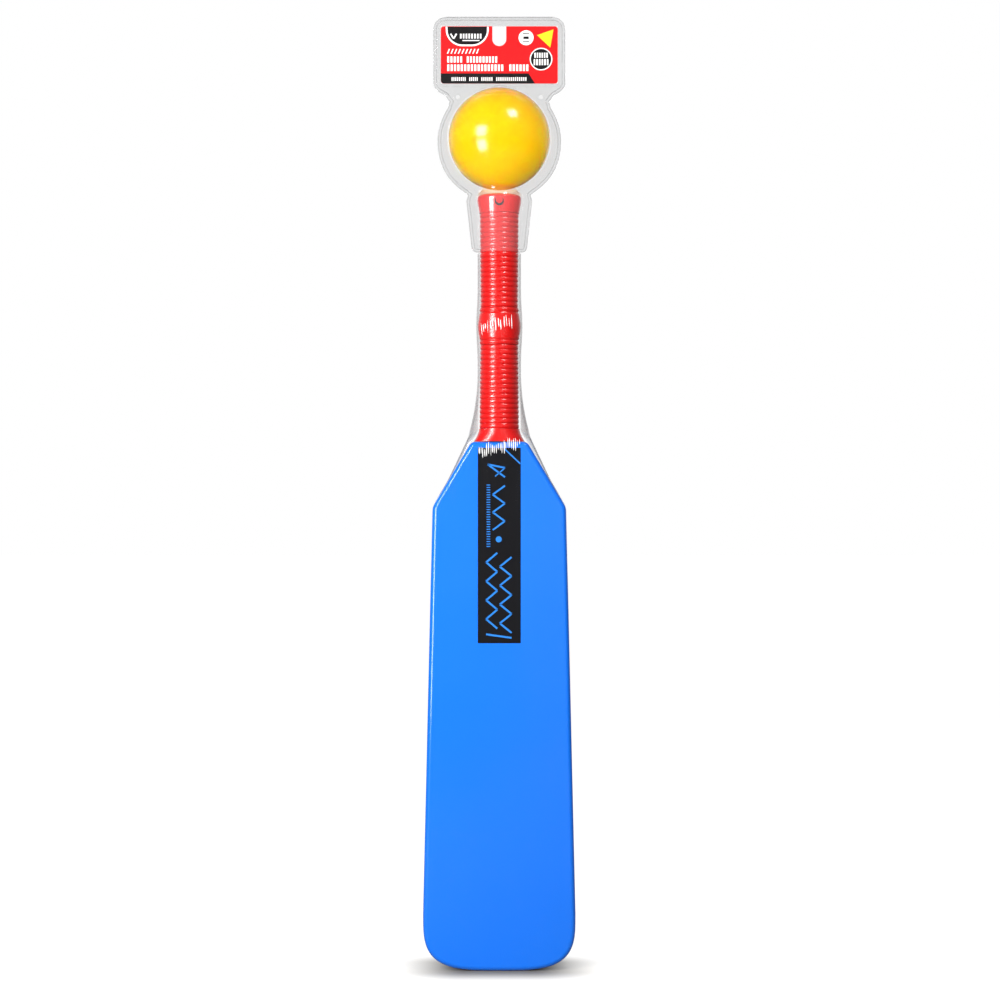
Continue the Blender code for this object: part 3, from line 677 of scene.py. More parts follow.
def loft(name: str, rings: Sequence[Ring], closed: bool = False) -> bpy.types.Mesh:
    """Skin rings of equal length.

    Args:
        name: The mesh's name.
        rings: The rings in order.
        closed: Join the last ring to the first, in place of end caps.

    Returns:
        The mesh.
    """
    built = bmesh.new()
    loops = [[built.verts.new(point) for point in ring] for ring in rings]
    pairs = list(zip(loops, loops[1:]))
    if closed:
        pairs.append((loops[-1], loops[0]))
    else:
        built.faces.new(loops[0])
        built.faces.new(list(reversed(loops[-1])))
    for low, high in pairs:
        for i in range(len(low)):
            j = (i + 1) % len(low)
            built.faces.new((low[i], low[j], high[j], high[i]))
    return to_mesh(name, built)


def turned(name: str, profile: Outline, steps: int = HANDLE_FACETS) -> bpy.types.Mesh:
    """Spin a closed outline of (radius, height) points round the Z axis.

    Args:
        name: The mesh's name.
        profile: The outline's points.
        steps: Facets round the axis.

    Returns:
        The mesh.
    """
    built = bmesh.new()
    corners = [built.verts.new((radius, 0, height)) for radius, height in profile]
    edges = []
    for i, corner in enumerate(corners):
        j = (i + 1) % len(corners)
        if profile[i][0] or profile[j][0]:
            edges.append(built.edges.new((corner, corners[j])))
    bmesh.ops.spin(built, geom=corners + edges, axis=(0, 0, 1), cent=(0, 0, 0),
                   angle=FULL_TURN, steps=steps, use_merge=True)
    bmesh.ops.remove_doubles(built, verts=built.verts, dist=MERGE_REACH)
    return to_mesh(name, built)


def slab(name: str, outlines: Sequence[Outline], near: float, far: float) -> bpy.types.Mesh:
    """Extrude (x, z) outlines along Y.

    Args:
        name: The mesh's name.
        outlines: One outline for each separate plate.
        near, far: The Y of the two faces.

    Returns:
        One mesh of all the plates.
    """
    built = bmesh.new()
    for outline in outlines:
        face = built.faces.new([built.verts.new((x, near, z)) for x, z in outline])
        moved = bmesh.ops.extrude_face_region(built, geom=[face])["geom"]
        verts = [part for part in moved if isinstance(part, bmesh.types.BMVert)]
        bmesh.ops.translate(built, verts=verts, vec=(0, far - near, 0))
    return to_mesh(name, built)


def stand(mesh: bpy.types.Mesh) -> bpy.types.Object:
    """Put a mesh in the scene as an object at the origin.

    Args:
        mesh: The mesh, whose name the object takes.

    Returns:
        The object.
    """
    item = bpy.data.objects.new(mesh.name, mesh)
    bpy.context.scene.collection.objects.link(item)
    return item


def baked(item: bpy.types.Object) -> bpy.types.Object:
    """Turn an object's modifiers into plain mesh.

    Args:
        item: The object, removed here.

    Returns:
        A plain object of the same name.
    """
    bpy.context.view_layer.update()
    seen = item.evaluated_get(bpy.context.evaluated_depsgraph_get())
    mesh = bpy.data.meshes.new_from_object(seen)
    name = item.name
    bpy.data.objects.remove(item, do_unlink=True)
    mesh.name = name
    return stand(mesh)


def carved(item: bpy.types.Object, cutter: bpy.types.Object) -> bpy.types.Object:
    """Take a cutter out of a piece.

    Args:
        item: The piece, removed here.
        cutter: What is taken out, removed here too.

    Returns:
        The plain piece.
    """
    cut = item.modifiers.new("cut", "BOOLEAN")
    cut.object, cut.operation, cut.solver = cutter, "DIFFERENCE", "EXACT"
    plain = baked(item)
    bpy.data.objects.remove(cutter, do_unlink=True)
    shade(plain.data, FOLD_DEGREES)
    return plain


def merged_copy(node: str) -> bpy.types.Mesh:
    """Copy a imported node's mesh with its loose triangles joined.

    Args:
        node: The node's name.

    Returns:
        The copy.
    """
    built = bmesh.new()
    built.from_mesh(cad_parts[node].data)
    bmesh.ops.remove_doubles(built, verts=built.verts, dist=2 * MERGE_REACH)
    bmesh.ops.dissolve_limit(built, angle_limit=math.radians(FLAT_DEGREES), verts=built.verts,
                             edges=built.edges)
    mesh = bpy.data.meshes.new(f"{node}_clear")
    built.to_mesh(mesh)
    built.free()
    return shade(mesh)


def dress(item: bpy.types.Object, finish: bpy.types.Material, body: Body, slot: Slot,
          *replaced: str) -> bpy.types.Object:
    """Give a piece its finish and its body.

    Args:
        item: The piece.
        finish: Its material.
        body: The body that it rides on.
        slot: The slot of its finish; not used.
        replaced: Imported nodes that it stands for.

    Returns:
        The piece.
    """
    item.data.materials.clear()
    item.data.materials.append(finish)
    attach(item, body.value)
    if replaced:
        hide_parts(*replaced)
    log.info("%s: %d faces on %s", item.name, len(item.data.polygons), body.value)
    return item


def redress(node: str, finish: bpy.types.Material) -> None:
    """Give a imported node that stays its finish.

    Args:
        node: The node's name.
        finish: Its material.
    """
    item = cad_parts[node]
    item.data.materials.clear()
    item.data.materials.append(finish)
    log.info("%s stays, in %s", node, finish.name)


# Outlines

def rounded(corners: Sequence[Point], steps: int = 8) -> Outline:
    """Points of a closed outline with rounded corners.

    Args:
        corners: (x, z, radius) of each corner.
        steps: Facets of each round.

    Returns:
        The outline.
    """
    points = []
    for i, (x, z, radius) in enumerate(corners):
        here = Vector((x, z))
        if radius == 0:
            points.append((x, z))
            continue
        before = Vector(corners[i - 1][:2]) - here
        after = Vector(corners[(i + 1) % len(corners)][:2]) - here
        half = before.angle(after) / 2
        inward = (before.normalized() + after.normalized()).normalized()
        centre = here + inward * (radius / math.sin(half))
        start = here + before.normalized() * (radius / math.tan(half)) - centre
        end = here + after.normalized() * (radius / math.tan(half)) - centre
        for k in range(steps + 1):
            points.append(tuple(centre + start.slerp(end, k / steps) * radius))
    return points


def inset(outline: Outline, distance: float) -> Outline:
    """Move every side of a counter-clockwise outline inwards, with mitred corners.

    Args:
        outline: The outline.
        distance: How far inwards.

    Returns:
        The smaller outline.
    """
    moved = []
    for i, point in enumerate(outline):
        here = Vector(point)
        before = (here - Vector(outline[i - 1])).normalized()
        after = (Vector(outline[(i + 1) % len(outline)]) - here).normalized()
        inward = (Vector((-before.y, before.x)) + Vector((-after.y, after.x))).normalized()
        moved.append(tuple(here + inward * (distance / inward.dot(Vector((-before.y, before.x))))))
    return moved


def plate(x: float, z: float, half: float, tall: float, lean: float = 0.0) -> Outline:
    """A leaning bar.

    Args:
        x, z: Its centre.
        half: Half its width.
        tall: Half its height.
        lean: How far its top lies to the right of its bottom.

    Returns:
        The outline.
    """
    slip = lean / 2
    return [(x - half - slip, z - tall), (x + half - slip, z - tall),
            (x + half + slip, z + tall), (x - half + slip, z + tall)]


def stroke(start: Flat, end: Flat, half: float) -> Outline:
    """A straight stroke of one thickness.

    Args:
        start, end: Its ends.
        half: Half its thickness.

    Returns:
        The outline.
    """
    first, last = Vector(start), Vector(end)
    along = (last - first).normalized()
    side = Vector((-along.y, along.x)) * half
    return [tuple(first - side), tuple(last - side), tuple(last + side), tuple(first + side)]


def zigzag(left: float, right: float, high: float, low: float, count: int,
           half: float) -> list[Outline]:
    """Strokes that run down from side to side.

    Args:
        left, right: The sides.
        high, low: The first and the last height.
        count: How many strokes.
        half: Half their thickness.

    Returns:
        The outlines.
    """
    fall = (high - low) / count
    ends = [(left if k % 2 else right, high - fall * k) for k in range(count + 1)]
    return [stroke(a, b, half) for a, b in zip(ends, ends[1:])]


def bars(left: float, right: float, z: float, tall: float, count: int, share: float = 0.62,
         lean: float = 0.0) -> list[Outline]:
    """A row of upright bars.

    Args:
        left, right: The row's ends.
        z: Its middle height.
        tall: Half its height.
        count: How many bars.
        share: How much of the row is bar.
        lean: How far each bar's top lies to the right of its bottom.

    Returns:
        The outlines.
    """
    pitch = (right - left) / count
    return [plate(left + pitch * (k + 0.5), z, pitch * share / 2, tall, lean)
            for k in range(count)]


def disc(x: float, z: float, radius: float, steps: int = 40, start: float = 0.0) -> Outline:
    """A round outline.

    Args:
        x, z: Its centre.
        radius: Its radius.
        steps: Its facets.
        start: How many facets it is turned by.

    Returns:
        The outline.
    """
    turns = [FULL_TURN * (i + start) / steps for i in range(steps)]
    return [(x + radius * math.cos(turn), z + radius * math.sin(turn)) for turn in turns]


def power_curve(angle: float, power: float) -> Flat:
    """A point on a unit superellipse.

    Args:
        angle: The point's angle.
        power: 2 is a circle, and more is squarer.

    Returns:
        The point.
    """
    c, s = math.cos(angle), math.sin(angle)
    return (math.copysign(abs(c) ** (2 / power), c), math.copysign(abs(s) ** (2 / power), s))


# Geometry Nodes

class GeometryKit:
    """Builds the geometry node trees and bakes objects with them."""

    def ribs(self) -> bpy.types.NodeTree:
        """A ribbed sleeve with a bore: rows down the outside, then up the bore and back.

        Returns:
            A tree that turns a grid into the sleeve.
        """
        board, given = new_group(
            "GeometryNodeTree", "ribbed_sleeve",
            {"Geometry": "Geometry", "Low": 0.0, "High": 100.0 * MM, "Low Radius": 14.0 * MM,
             "High Radius": 13.0 * MM, "Bore": 10.0 * MM, "Rib Depth": RIB_DEPTH, "Ribs": 10,
             "Facets a Rib": 8, "Around": HANDLE_FACETS, "Finish": "Material"},
            {"Geometry": "Geometry"})
        # Past the outside's rows, one starts the bore, one ends it and one closes the ring.
        rows = given["Ribs"] * given["Facets a Rib"]
        grid = board.put("GeometryNodeMeshGrid", {
            "Size X": 1.0, "Size Y": 1.0, "Vertices X": given["Around"] + 1.0,
            "Vertices Y": rows + 4.0})
        across, along, _ = board.split(board.put("GeometryNodeInputPosition")[0])
        turn = (across + 0.5) * FULL_TURN
        line = (along + 0.5) * (rows + 3.0)
        in_bore, back_up, closing = (line > rows + edge for edge in (0.5, 1.5, 2.5))
        share = board.math("MINIMUM", line / rows * (1.0 - closing), 1.0)
        wave = board.math("COSINE", share * given["Ribs"] * FULL_TURN) * 0.5 + 0.5
        crest = between(share, given["High Radius"], given["Low Radius"])
        outer = crest - wave ** RIB_SHARPNESS * given["Rib Depth"]
        bored = in_bore - closing
        radius = between(bored, outer, given["Bore"])
        height = between(bored, between(share, given["High"], given["Low"]),
                         between(back_up, given["Low"], given["High"]))
        place = board.put("ShaderNodeCombineXYZ", {
            0: radius * board.math("COSINE", turn), 1: radius * board.math("SINE", turn),
            2: height})[0]
        moved = board.put("GeometryNodeSetPosition", {"Geometry": grid["Mesh"],
                                                      "Position": place})[0]
        joined = board.put("GeometryNodeMergeByDistance", {"Geometry": moved,
                                                           "Distance": MERGE_REACH})[0]
        return self.painted(board, joined, given["Finish"])

    def creases(self) -> bpy.types.NodeTree:
        """Small pulled folds that stand on a path, in a finish that paints the glint of light on
        them.

        Returns:
            A tree that turns a polyline into creases along it.
        """
        board, given = new_group(
            "GeometryNodeTree", "film_creases",
            {"Geometry": "Geometry", "Count": 20, "Seed": 1, "From": 0.0, "To": 1.0,
             "Length": 6.0 * MM, "Width": 0.3 * MM, "Lift": 0.2 * MM, "Scatter": 2.0 * MM,
             "Lean": 0.2, "Finish": "Material"},
            {"Geometry": "Geometry"})
        step = board.put("GeometryNodeInputIndex")[0]

        def chance(low: float, high: float, salt: int) -> Signal:
            """A random number for each crease."""
            return board.put("FunctionNodeRandomValue", {
                "Min": low, "Max": high, "ID": step, "Seed": given["Seed"] + salt})["Value"]

        share = (step + chance(0.35, 0.65, 0)) / given["Count"]
        path = board.put("GeometryNodeMeshToCurve", {"Mesh": given["Geometry"]})[0]
        sample = board.put("GeometryNodeSampleCurve", {
            "Curves": path, "Factor": between(share, given["From"], given["To"])})
        rise = board.put("ShaderNodeCombineXYZ", {2: chance(-1.0, 1.0, 17) * given["Scatter"]})[0]
        points = board.put("GeometryNodePoints", {"Count": given["Count"], "Radius": MM})[0]
        moved = board.put("GeometryNodeSetPosition", {
            "Geometry": points, "Position": board.vector("ADD", sample["Position"], rise)})[0]
        facing = board.put("FunctionNodeAlignRotationToVector", {"Vector": sample["Tangent"]},
                           axis="X", pivot_axis="Z")[0]
        lean = board.put("FunctionNodeAxisAngleToRotation", {
            "Axis": (0.0, 1.0, 0.0), "Angle": chance(0.1, 1.0, 31) * given["Lean"]})[0]
        leaning = board.put("FunctionNodeRotateRotation", {"Rotation": facing, "Rotate By": lean},
                            rotation_space="LOCAL")[0]
        size = board.put("ShaderNodeCombineXYZ", {
            0: chance(0.5, 1.3, 43) * given["Width"], 1: given["Lift"],
            2: chance(0.35, 1.0, 59) * given["Length"]})[0]
        grain = board.put("GeometryNodeMeshUVSphere", {"Segments": 8, "Rings": 6, "Radius": 1.0})
        placed = board.put("GeometryNodeInstanceOnPoints", {
            "Points": moved, "Instance": grain["Mesh"], "Rotation": leaning, "Scale": size})[0]
        return self.painted(board, placed, given["Finish"])

    @staticmethod
    def painted(board: Board, made: Signal, finish: Signal) -> bpy.types.NodeTree:
        """End a tree with real faces in one finish.

        Args:
            board: The tree's board.
            made: The geometry.
            finish: The material.

        Returns:
            The finished tree.
        """
        real = board.put("GeometryNodeRealizeInstances", {"Geometry": made})[0]
        smooth = board.put("GeometryNodeSetShadeSmooth", {"Geometry": real})[0]
        return board.finish(Geometry=board.put("GeometryNodeSetMaterial", {
            "Geometry": smooth, "Material": finish})[0])

    @staticmethod
    def grow(name: str, tree: bpy.types.NodeTree, values: dict[str, object],
             seed_mesh: bpy.types.Mesh | None = None) -> bpy.types.Object:
        """Run a tree on a mesh and bake the result.

        Args:
            name: The piece's name.
            tree: The geometry tree.
            values: Input name to value.
            seed_mesh: The mesh that the tree starts from.

        Returns:
            The plain object.
        """
        base = seed_mesh or bpy.data.meshes.new(name)
        base.name = name
        item = stand(base)
        change = item.modifiers.new("tree", "NODES")
        change.node_group = tree
        for socket in tree.interface.items_tree:
            if socket.item_type == "SOCKET" and socket.name in values:
                change[socket.identifier] = values[socket.name]
        plain = baked(item)
        built = bmesh.new()
        built.from_mesh(plain.data)
        bmesh.ops.recalc_face_normals(built, faces=built.faces)
        built.to_mesh(plain.data)
        built.free()
        shade(plain.data, RIB_DEGREES)
        return plain


# Blade

@dataclass
class Blade:
    """Two moulded skins that meet half way round the edge, over a foam core."""

    length: float = BLADE_LENGTH
    half_width: float = 53.5 * MM
    half_depth: float = BLADE_HALF_DEPTH
    shoulder_half: float = 46.9 * MM
    shoulder_height: float = 325.0 * MM
    shoulder_corner: float = 10.0 * MM
    top_half: float = BLADE_TOP_HALF
    top_corner: float = 5.0 * MM
    toe_height: float = 39.5 * MM
    toe_power: float = 3.5
    edge: float = 3.5 * MM
    spine_rise: float = 6.0 * MM
    spine_half: float = 15.0 * MM
    spine_low: float = 36.0 * MM
    spine_high: float = 275.0 * MM
    spine_hollow: float = 1.25
    wall: float = 1.6 * MM
    seam: float = 0.15 * MM
    bore: float = HANDLE_BORE
    bore_steps: int = 48
    steps: int = 10

    def outline(self) -> Outline:
        """The blade seen from the front.

        Returns:
            A counter-clockwise outline from the middle of the toe.
        """
        half = []
        toe_steps = 3 * self.steps
        for k in range(toe_steps):
            x, z = power_curve(QUARTER_TURN * (1 - k / toe_steps), self.toe_power)
            half.append((self.half_width * abs(x) if k else 0.0, self.toe_height * (1 - z)))
        half += rounded([
            (self.half_width, self.toe_height, 0),
            (self.shoulder_half, self.shoulder_height, self.shoulder_corner),
            (self.top_half, self.length, self.top_corner),
            (0.0, self.length, 0),
        ])
        return half + [(-x, z) for x, z in reversed(half[1:-1])]

    def side_layers(self, side: int) -> list[Ring]:
        """Rings of the rounded edge, from the seam to the face or the back.

        Args:
            side: -1 for the face and 1 for the back.

        Returns:
            The rings.
        """
        outline = self.outline()
        layers = [(0.0, self.seam), (0.0, self.half_depth - self.edge)]
        for k in range(1, self.steps + 1):
            turn = QUARTER_TURN * k / self.steps
            layers.append((self.edge * (1 - math.cos(turn)),
                           self.half_depth - self.edge * (1 - math.sin(turn))))
        return [[(x, y * side, z) for x, z in inset(outline, d)] for d, y in layers]

    def spine_layers(self, edge: Outline, outline: Outline) -> list[Ring]:
        """Rings that rise from the back's edge to the spine's flat crown.

        Args:
            edge: The outline where the back's face begins.
            outline: The blade's full outline.

        Returns:
            The rings.
        """
        span = (self.spine_high - self.spine_low) / self.length
        layers = []
        for k in range(1, self.steps + 1):
            share = k / self.steps
            y = self.half_depth + self.spine_rise * share ** self.spine_hollow
            ring = []
            for (x, z), (full_x, full_z) in zip(edge, outline):
                crown_x = full_x * self.spine_half / self.half_width
                crown_z = self.spine_low + full_z * span
                ring.append((x + (crown_x - x) * share, y, z + (crown_z - z) * share))
            layers.append(ring)
        return layers

    def build(self) -> None:
        """Build and dress the skins, and dress the core."""
        blue = BLADE_BLUE.build()
        outline = self.outline()
        rim = inset(outline, self.wall)
        for name, side in (("blade_front_skin", -1), ("blade_back_skin", 1)):
            rings = self.side_layers(side)
            if side > 0:
                rings += self.spine_layers(inset(outline, self.edge), outline)
            inner = [[(x, self.seam * side, z) for x, z in rim],
                     [(x, (self.half_depth - self.wall) * side, z) for x, z in rim]]
            skin = stand(loft(f"{name}_moulded", [*reversed(inner), *rings]))
            top_hole = stand(turned("handle_bore", [
                (0, self.length - self.spine_low), (self.bore, self.length - self.spine_low),
                (self.bore, self.length + self.edge), (0, self.length + self.edge)],
                self.bore_steps))
            dress(carved(skin, top_hole), blue, Body.BAT, Slot.SKIN, name)
        redress("blade_core", FOAM_WHITE.build())


@dataclass
class FacePanel:
    """The black panel on the face, with a plain printed design."""

    half_width: float = 15.05 * MM
    low: float = 229.7 * MM
    high: float = 366.6 * MM
    corner: float = 0.6 * MM
    face: float = -BLADE_HALF_DEPTH
    proud: float = 0.02 * MM
    ink: float = 0.06 * MM
    depth: float = 0.3 * MM

    def build(self) -> None:
        """Build and dress the panel and its print."""
        edge = rounded([(side * self.half_width, z, self.corner) for side, z in (
            (-1, self.low), (1, self.low), (1, self.high), (-1, self.high))])
        panel = stand(slab("face_panel", [edge], self.face - self.proud, self.face + self.depth))
        dress(panel, PANEL_BLACK.build(), Body.BAT, Slot.LABEL, "blade_label")
        print_piece = stand(slab("face_panel_print", self.design(), self.face - self.ink,
                                 self.face))
        dress(print_piece, PANEL_BLUE.build(), Body.BAT, Slot.LABEL)

    def design(self) -> list[Outline]:
        """A chevron over a zigzag with fine ticks, and two bold zigzags below.

        Returns:
            The outlines of the printed shapes.
        """
        left, middle, right = -9.2 * MM, -1.4 * MM, 8.6 * MM
        shapes = [stroke((x * MM, z * MM), (far_x * MM, far_z * MM), half * MM)
                  for x, z, far_x, far_z, half in (
                      (-8.2, 355.0, 4.0, 352.5, 0.6), (-8.2, 355.0, 4.0, 346.0, 0.6),
                      (4.0, 352.5, -3.0, 346.5, 0.4), (3.2, 366.2, 14.7, 355.4, 0.5))]
        shapes += zigzag(-4.6 * MM, 3.9 * MM, 340 * MM, 309 * MM, 5, 0.6 * MM)
        shapes += [disc(-0.4 * MM, 302.5 * MM, 2.1 * MM, 24)]
        for k in range(26):
            shapes.append(plate(left + 1.6 * MM, (340.5 - 1.72 * k) * MM, 1.3 * MM, 0.32 * MM))
        shapes += zigzag(left, middle, 293 * MM, 240 * MM, 8, 0.65 * MM)
        shapes += zigzag(middle + 1.8 * MM, right, 290 * MM, 237 * MM, 8, 0.65 * MM)
        shapes.append(stroke((left, 236 * MM), (right, 233.5 * MM), 0.65 * MM))
        return shapes


# Handle

@dataclass(frozen=True)
class Sleeve:
    """One ribbed sleeve of the handle."""

    name: str
    node: str
    low: float
    length: float
    low_radius: float
    high_radius: float
    coat_roughness: float
    bore: float = HANDLE_BORE
    close: float = HANDLE_CLOSE
    rib_depth: float = RIB_DEPTH
    rib_pitch: float = 3.42 * MM
    rib_facets: int = 10
    around: int = HANDLE_FACETS

    def build(self, kit: GeometryKit, tree: bpy.types.NodeTree) -> None:
        """Build and dress the sleeve.

        Args:
            kit: The geometry kit.
            tree: The rib tree.
        """
        count = int(self.length / self.rib_pitch)
        bottom, top = self.low - self.close, self.low + self.length + self.close
        red = replace(GRIP_RED, name=f"grip_red_{self.name}", rib_top=top,
                      rib_pitch=(top - bottom) / count, coat_roughness=self.coat_roughness).build()
        grown = kit.grow(self.name, tree, {
            "Low": bottom, "High": top, "Low Radius": self.low_radius,
            "High Radius": self.high_radius, "Bore": self.bore, "Rib Depth": self.rib_depth,
            "Ribs": count, "Facets a Rib": self.rib_facets, "Around": self.around, "Finish": red})
        dress(grown, red, Body.BAT, Slot.GRIP, self.node)


@dataclass
class Handle:
    """Flare, ribbed sleeves, barrel collar and knob."""

    lower: Sleeve = Sleeve("lower_sleeve", "lower_grip", 380.5 * MM, 58.6 * MM, 14.0 * MM,
                           13.5 * MM, 0.14)
    upper: Sleeve = Sleeve("upper_sleeve", "upper_grip", 465.9 * MM, 66.1 * MM, 13.3 * MM,
                           13.8 * MM, 0.2)
    flare_low: float = 371.2 * MM
    flare_height: float = 9.0 * MM
    flare_half: float = 18.1 * MM
    flare_deep: float = 13.2 * MM
    flare_top: float = 14.3 * MM
    flare_sweep: float = 1.6
    flare_steps: int = 12
    collar_low: float = 439.4 * MM
    collar_length: float = 26.2 * MM
    collar_radius: float = 15.2 * MM
    collar_end: float = 13.9 * MM
    collar_swell: float = 1.5
    collar_ribs: int = 8
    end_ribs: float = 1.5
    knob_low: float = 532.3 * MM
    knob_top: float = 544.9 * MM
    knob_radius: float = 15.5 * MM
    knob_neck: float = 14.0 * MM
    knob_edge: float = 2.4 * MM
    knob_band: float = 2.2 * MM
    knob_steps: int = 10
    eye_height: float = 539.3 * MM
    eye_radius: float = 3.2 * MM
    eye_depth: float = 2.5 * MM
    eye_core: float = 2.4 * MM
    eye_rise: float = 0.9 * MM
    bore: float = HANDLE_BORE
    close: float = HANDLE_CLOSE
    rib_depth: float = RIB_DEPTH
    around: int = HANDLE_FACETS
    bar_steps: int = 48
    shade_disc: float = 0.6 * MM
    shade_disc_gap: float = 0.02 * MM

    @property
    def collar_middle(self) -> float:
        """The collar's middle height."""
        return self.collar_low + self.collar_length / 2

    def flare(self) -> bpy.types.Mesh:
        """The smooth seat on the blade.

        Returns:
            The mesh.
        """
        rings = []
        for k in range(self.flare_steps + 1):
            share = k / self.flare_steps
            sweep = (1 - share) ** self.flare_sweep
            wide = self.flare_top + (self.flare_half - self.flare_top) * sweep
            deep = self.flare_top + (self.flare_deep - self.flare_top) * sweep
            ring = []
            for i in range(self.around):
                x, y = power_curve(FULL_TURN * (i + 0.5) / self.around, 2 + sweep / 2)
                ring.append((wide * x, deep * y, self.flare_low + self.flare_height * share))
            rings.append(ring)
        for height in (self.flare_low + self.flare_height, self.flare_low):
            rings.append([(x, y, height) for x, y in disc(0, 0, self.bore, self.around, 0.5)])
        return loft("handle_flare", rings, closed=True)

    def collar(self) -> bpy.types.Mesh:
        """The barrel between the sleeves.

        Returns:
            The mesh.
        """
        profile = []
        for k in range(self.around + 1):
            share = k / self.around
            swell = ((1 - math.cos(FULL_TURN * share)) / 2) ** self.collar_swell
            radius = self.collar_end + (self.collar_radius - self.collar_end) * swell
            turns = min(share, 1 - share) * self.collar_ribs
            if turns < self.end_ribs:
                radius -= self.rib_depth * (1 + math.cos(FULL_TURN * turns)) / 2
            profile.append((radius, self.collar_low + self.collar_length * (1 - share)))
        profile += [(self.bore, self.collar_low), (self.bore, self.collar_low + self.collar_length)]
        return turned("barrel_collar", profile, self.around)

    def round_bar(self, name: str, radius: float, height: float, near: float,
                  far: float) -> bpy.types.Object:
        """A round bar along Y.

        Args:
            name: The bar's name.
            radius, height: Its radius and its axis's height.
            near, far: The Y of its ends.

        Returns:
            The bar.
        """
        outline = disc(0.0, height, radius, self.bar_steps)
        return stand(loft(name, [[(x, y, z) for x, z in outline] for y in (near, far)]))

    def knob(self) -> bpy.types.Object:
        """The end knob with the blind eye in its front.

        Returns:
            The piece.
        """
        edge_low = self.knob_top - self.knob_edge
        band_low = edge_low - self.knob_band
        profile = [(0.0, self.knob_top)]
        for k in range(self.knob_steps, 0, -1):
            turn = QUARTER_TURN * k / self.knob_steps
            profile.append((self.knob_radius - self.knob_edge * (1 - math.cos(turn)),
                            edge_low + self.knob_edge * math.sin(turn)))
        profile += [(self.knob_radius, edge_low), (self.knob_radius, band_low)]
        profile += [(self.knob_neck, self.knob_low - self.close), (0.0, self.knob_low - self.close)]
        knob = stand(turned("handle_knob", profile, self.around))
        outside, floor = -self.knob_radius - self.eye_depth, self.eye_depth - self.knob_radius
        eye = self.round_bar("eye", self.eye_radius, self.eye_height, outside, floor)
        core = self.round_bar("eye_core", self.eye_core, self.eye_height + self.eye_rise,
                              outside - MM, floor + MM)
        return carved(knob, carved(eye, core))

    def build(self, kit: GeometryKit) -> None:
        """Build and dress the handle.

        Args:
            kit: The geometry kit.
        """
        red = GRIP_RED.build()
        ribs = kit.ribs()
        for sleeve in (self.lower, self.upper):
            sleeve.build(kit, ribs)
        dress(stand(self.flare()), red, Body.BAT, Slot.GRIP, "shoulder_ferrule")
        pitch = self.collar_length / self.collar_ribs
        low, high = self.collar_low, self.collar_low + self.collar_length
        smooth = (low + self.end_ribs * pitch, high - self.end_ribs * pitch)
        partly = replace(GRIP_RED, name="grip_red_collar", rib_pitch=pitch, rib_gap=smooth,
                         rib_top=high)
        dress(stand(self.collar()), partly.build(), Body.BAT, Slot.GRIP, "grip_collar")
        dress(self.knob(), red, Body.BAT, Slot.GRIP, "end_knob")
        # Painted shade: a dark disc on the eye's floor stands in for the shade deep inside the eye.
        floor = self.eye_depth - self.knob_radius
        shade_disc = stand(slab("eye_shade_disc", [disc(0.0, self.eye_height,
                                                self.eye_radius - self.shade_disc_gap)],
                            floor - self.shade_disc, floor))
        dress(shade_disc, EYE_SHADE.build(), Body.BAT, Slot.GRIP)
        redress("core_tube", TUBE_GREY.build())
        redress("tube_end_plug", PLUG_BLACK.build())


# Film

@dataclass(frozen=True)
class CreaseBand:
    """One band of pulled folds across the film."""

    name: str
    height: float
    side: int
    count: int
    span: Flat
    length: float
    scatter: float
    seed: int
    lean: float
    width: float = 0.34 * MM
    lift: float = 0.2 * MM

    def values(self, finish: bpy.types.Material) -> dict[str, object]:
        """The crease tree's inputs."""
        return {"Count": self.count, "Seed": self.seed, "From": self.span[0], "To": self.span[1],
                "Length": self.length, "Width": self.width, "Lift": self.lift,
                "Scatter": self.scatter, "Lean": self.lean, "Finish": finish}


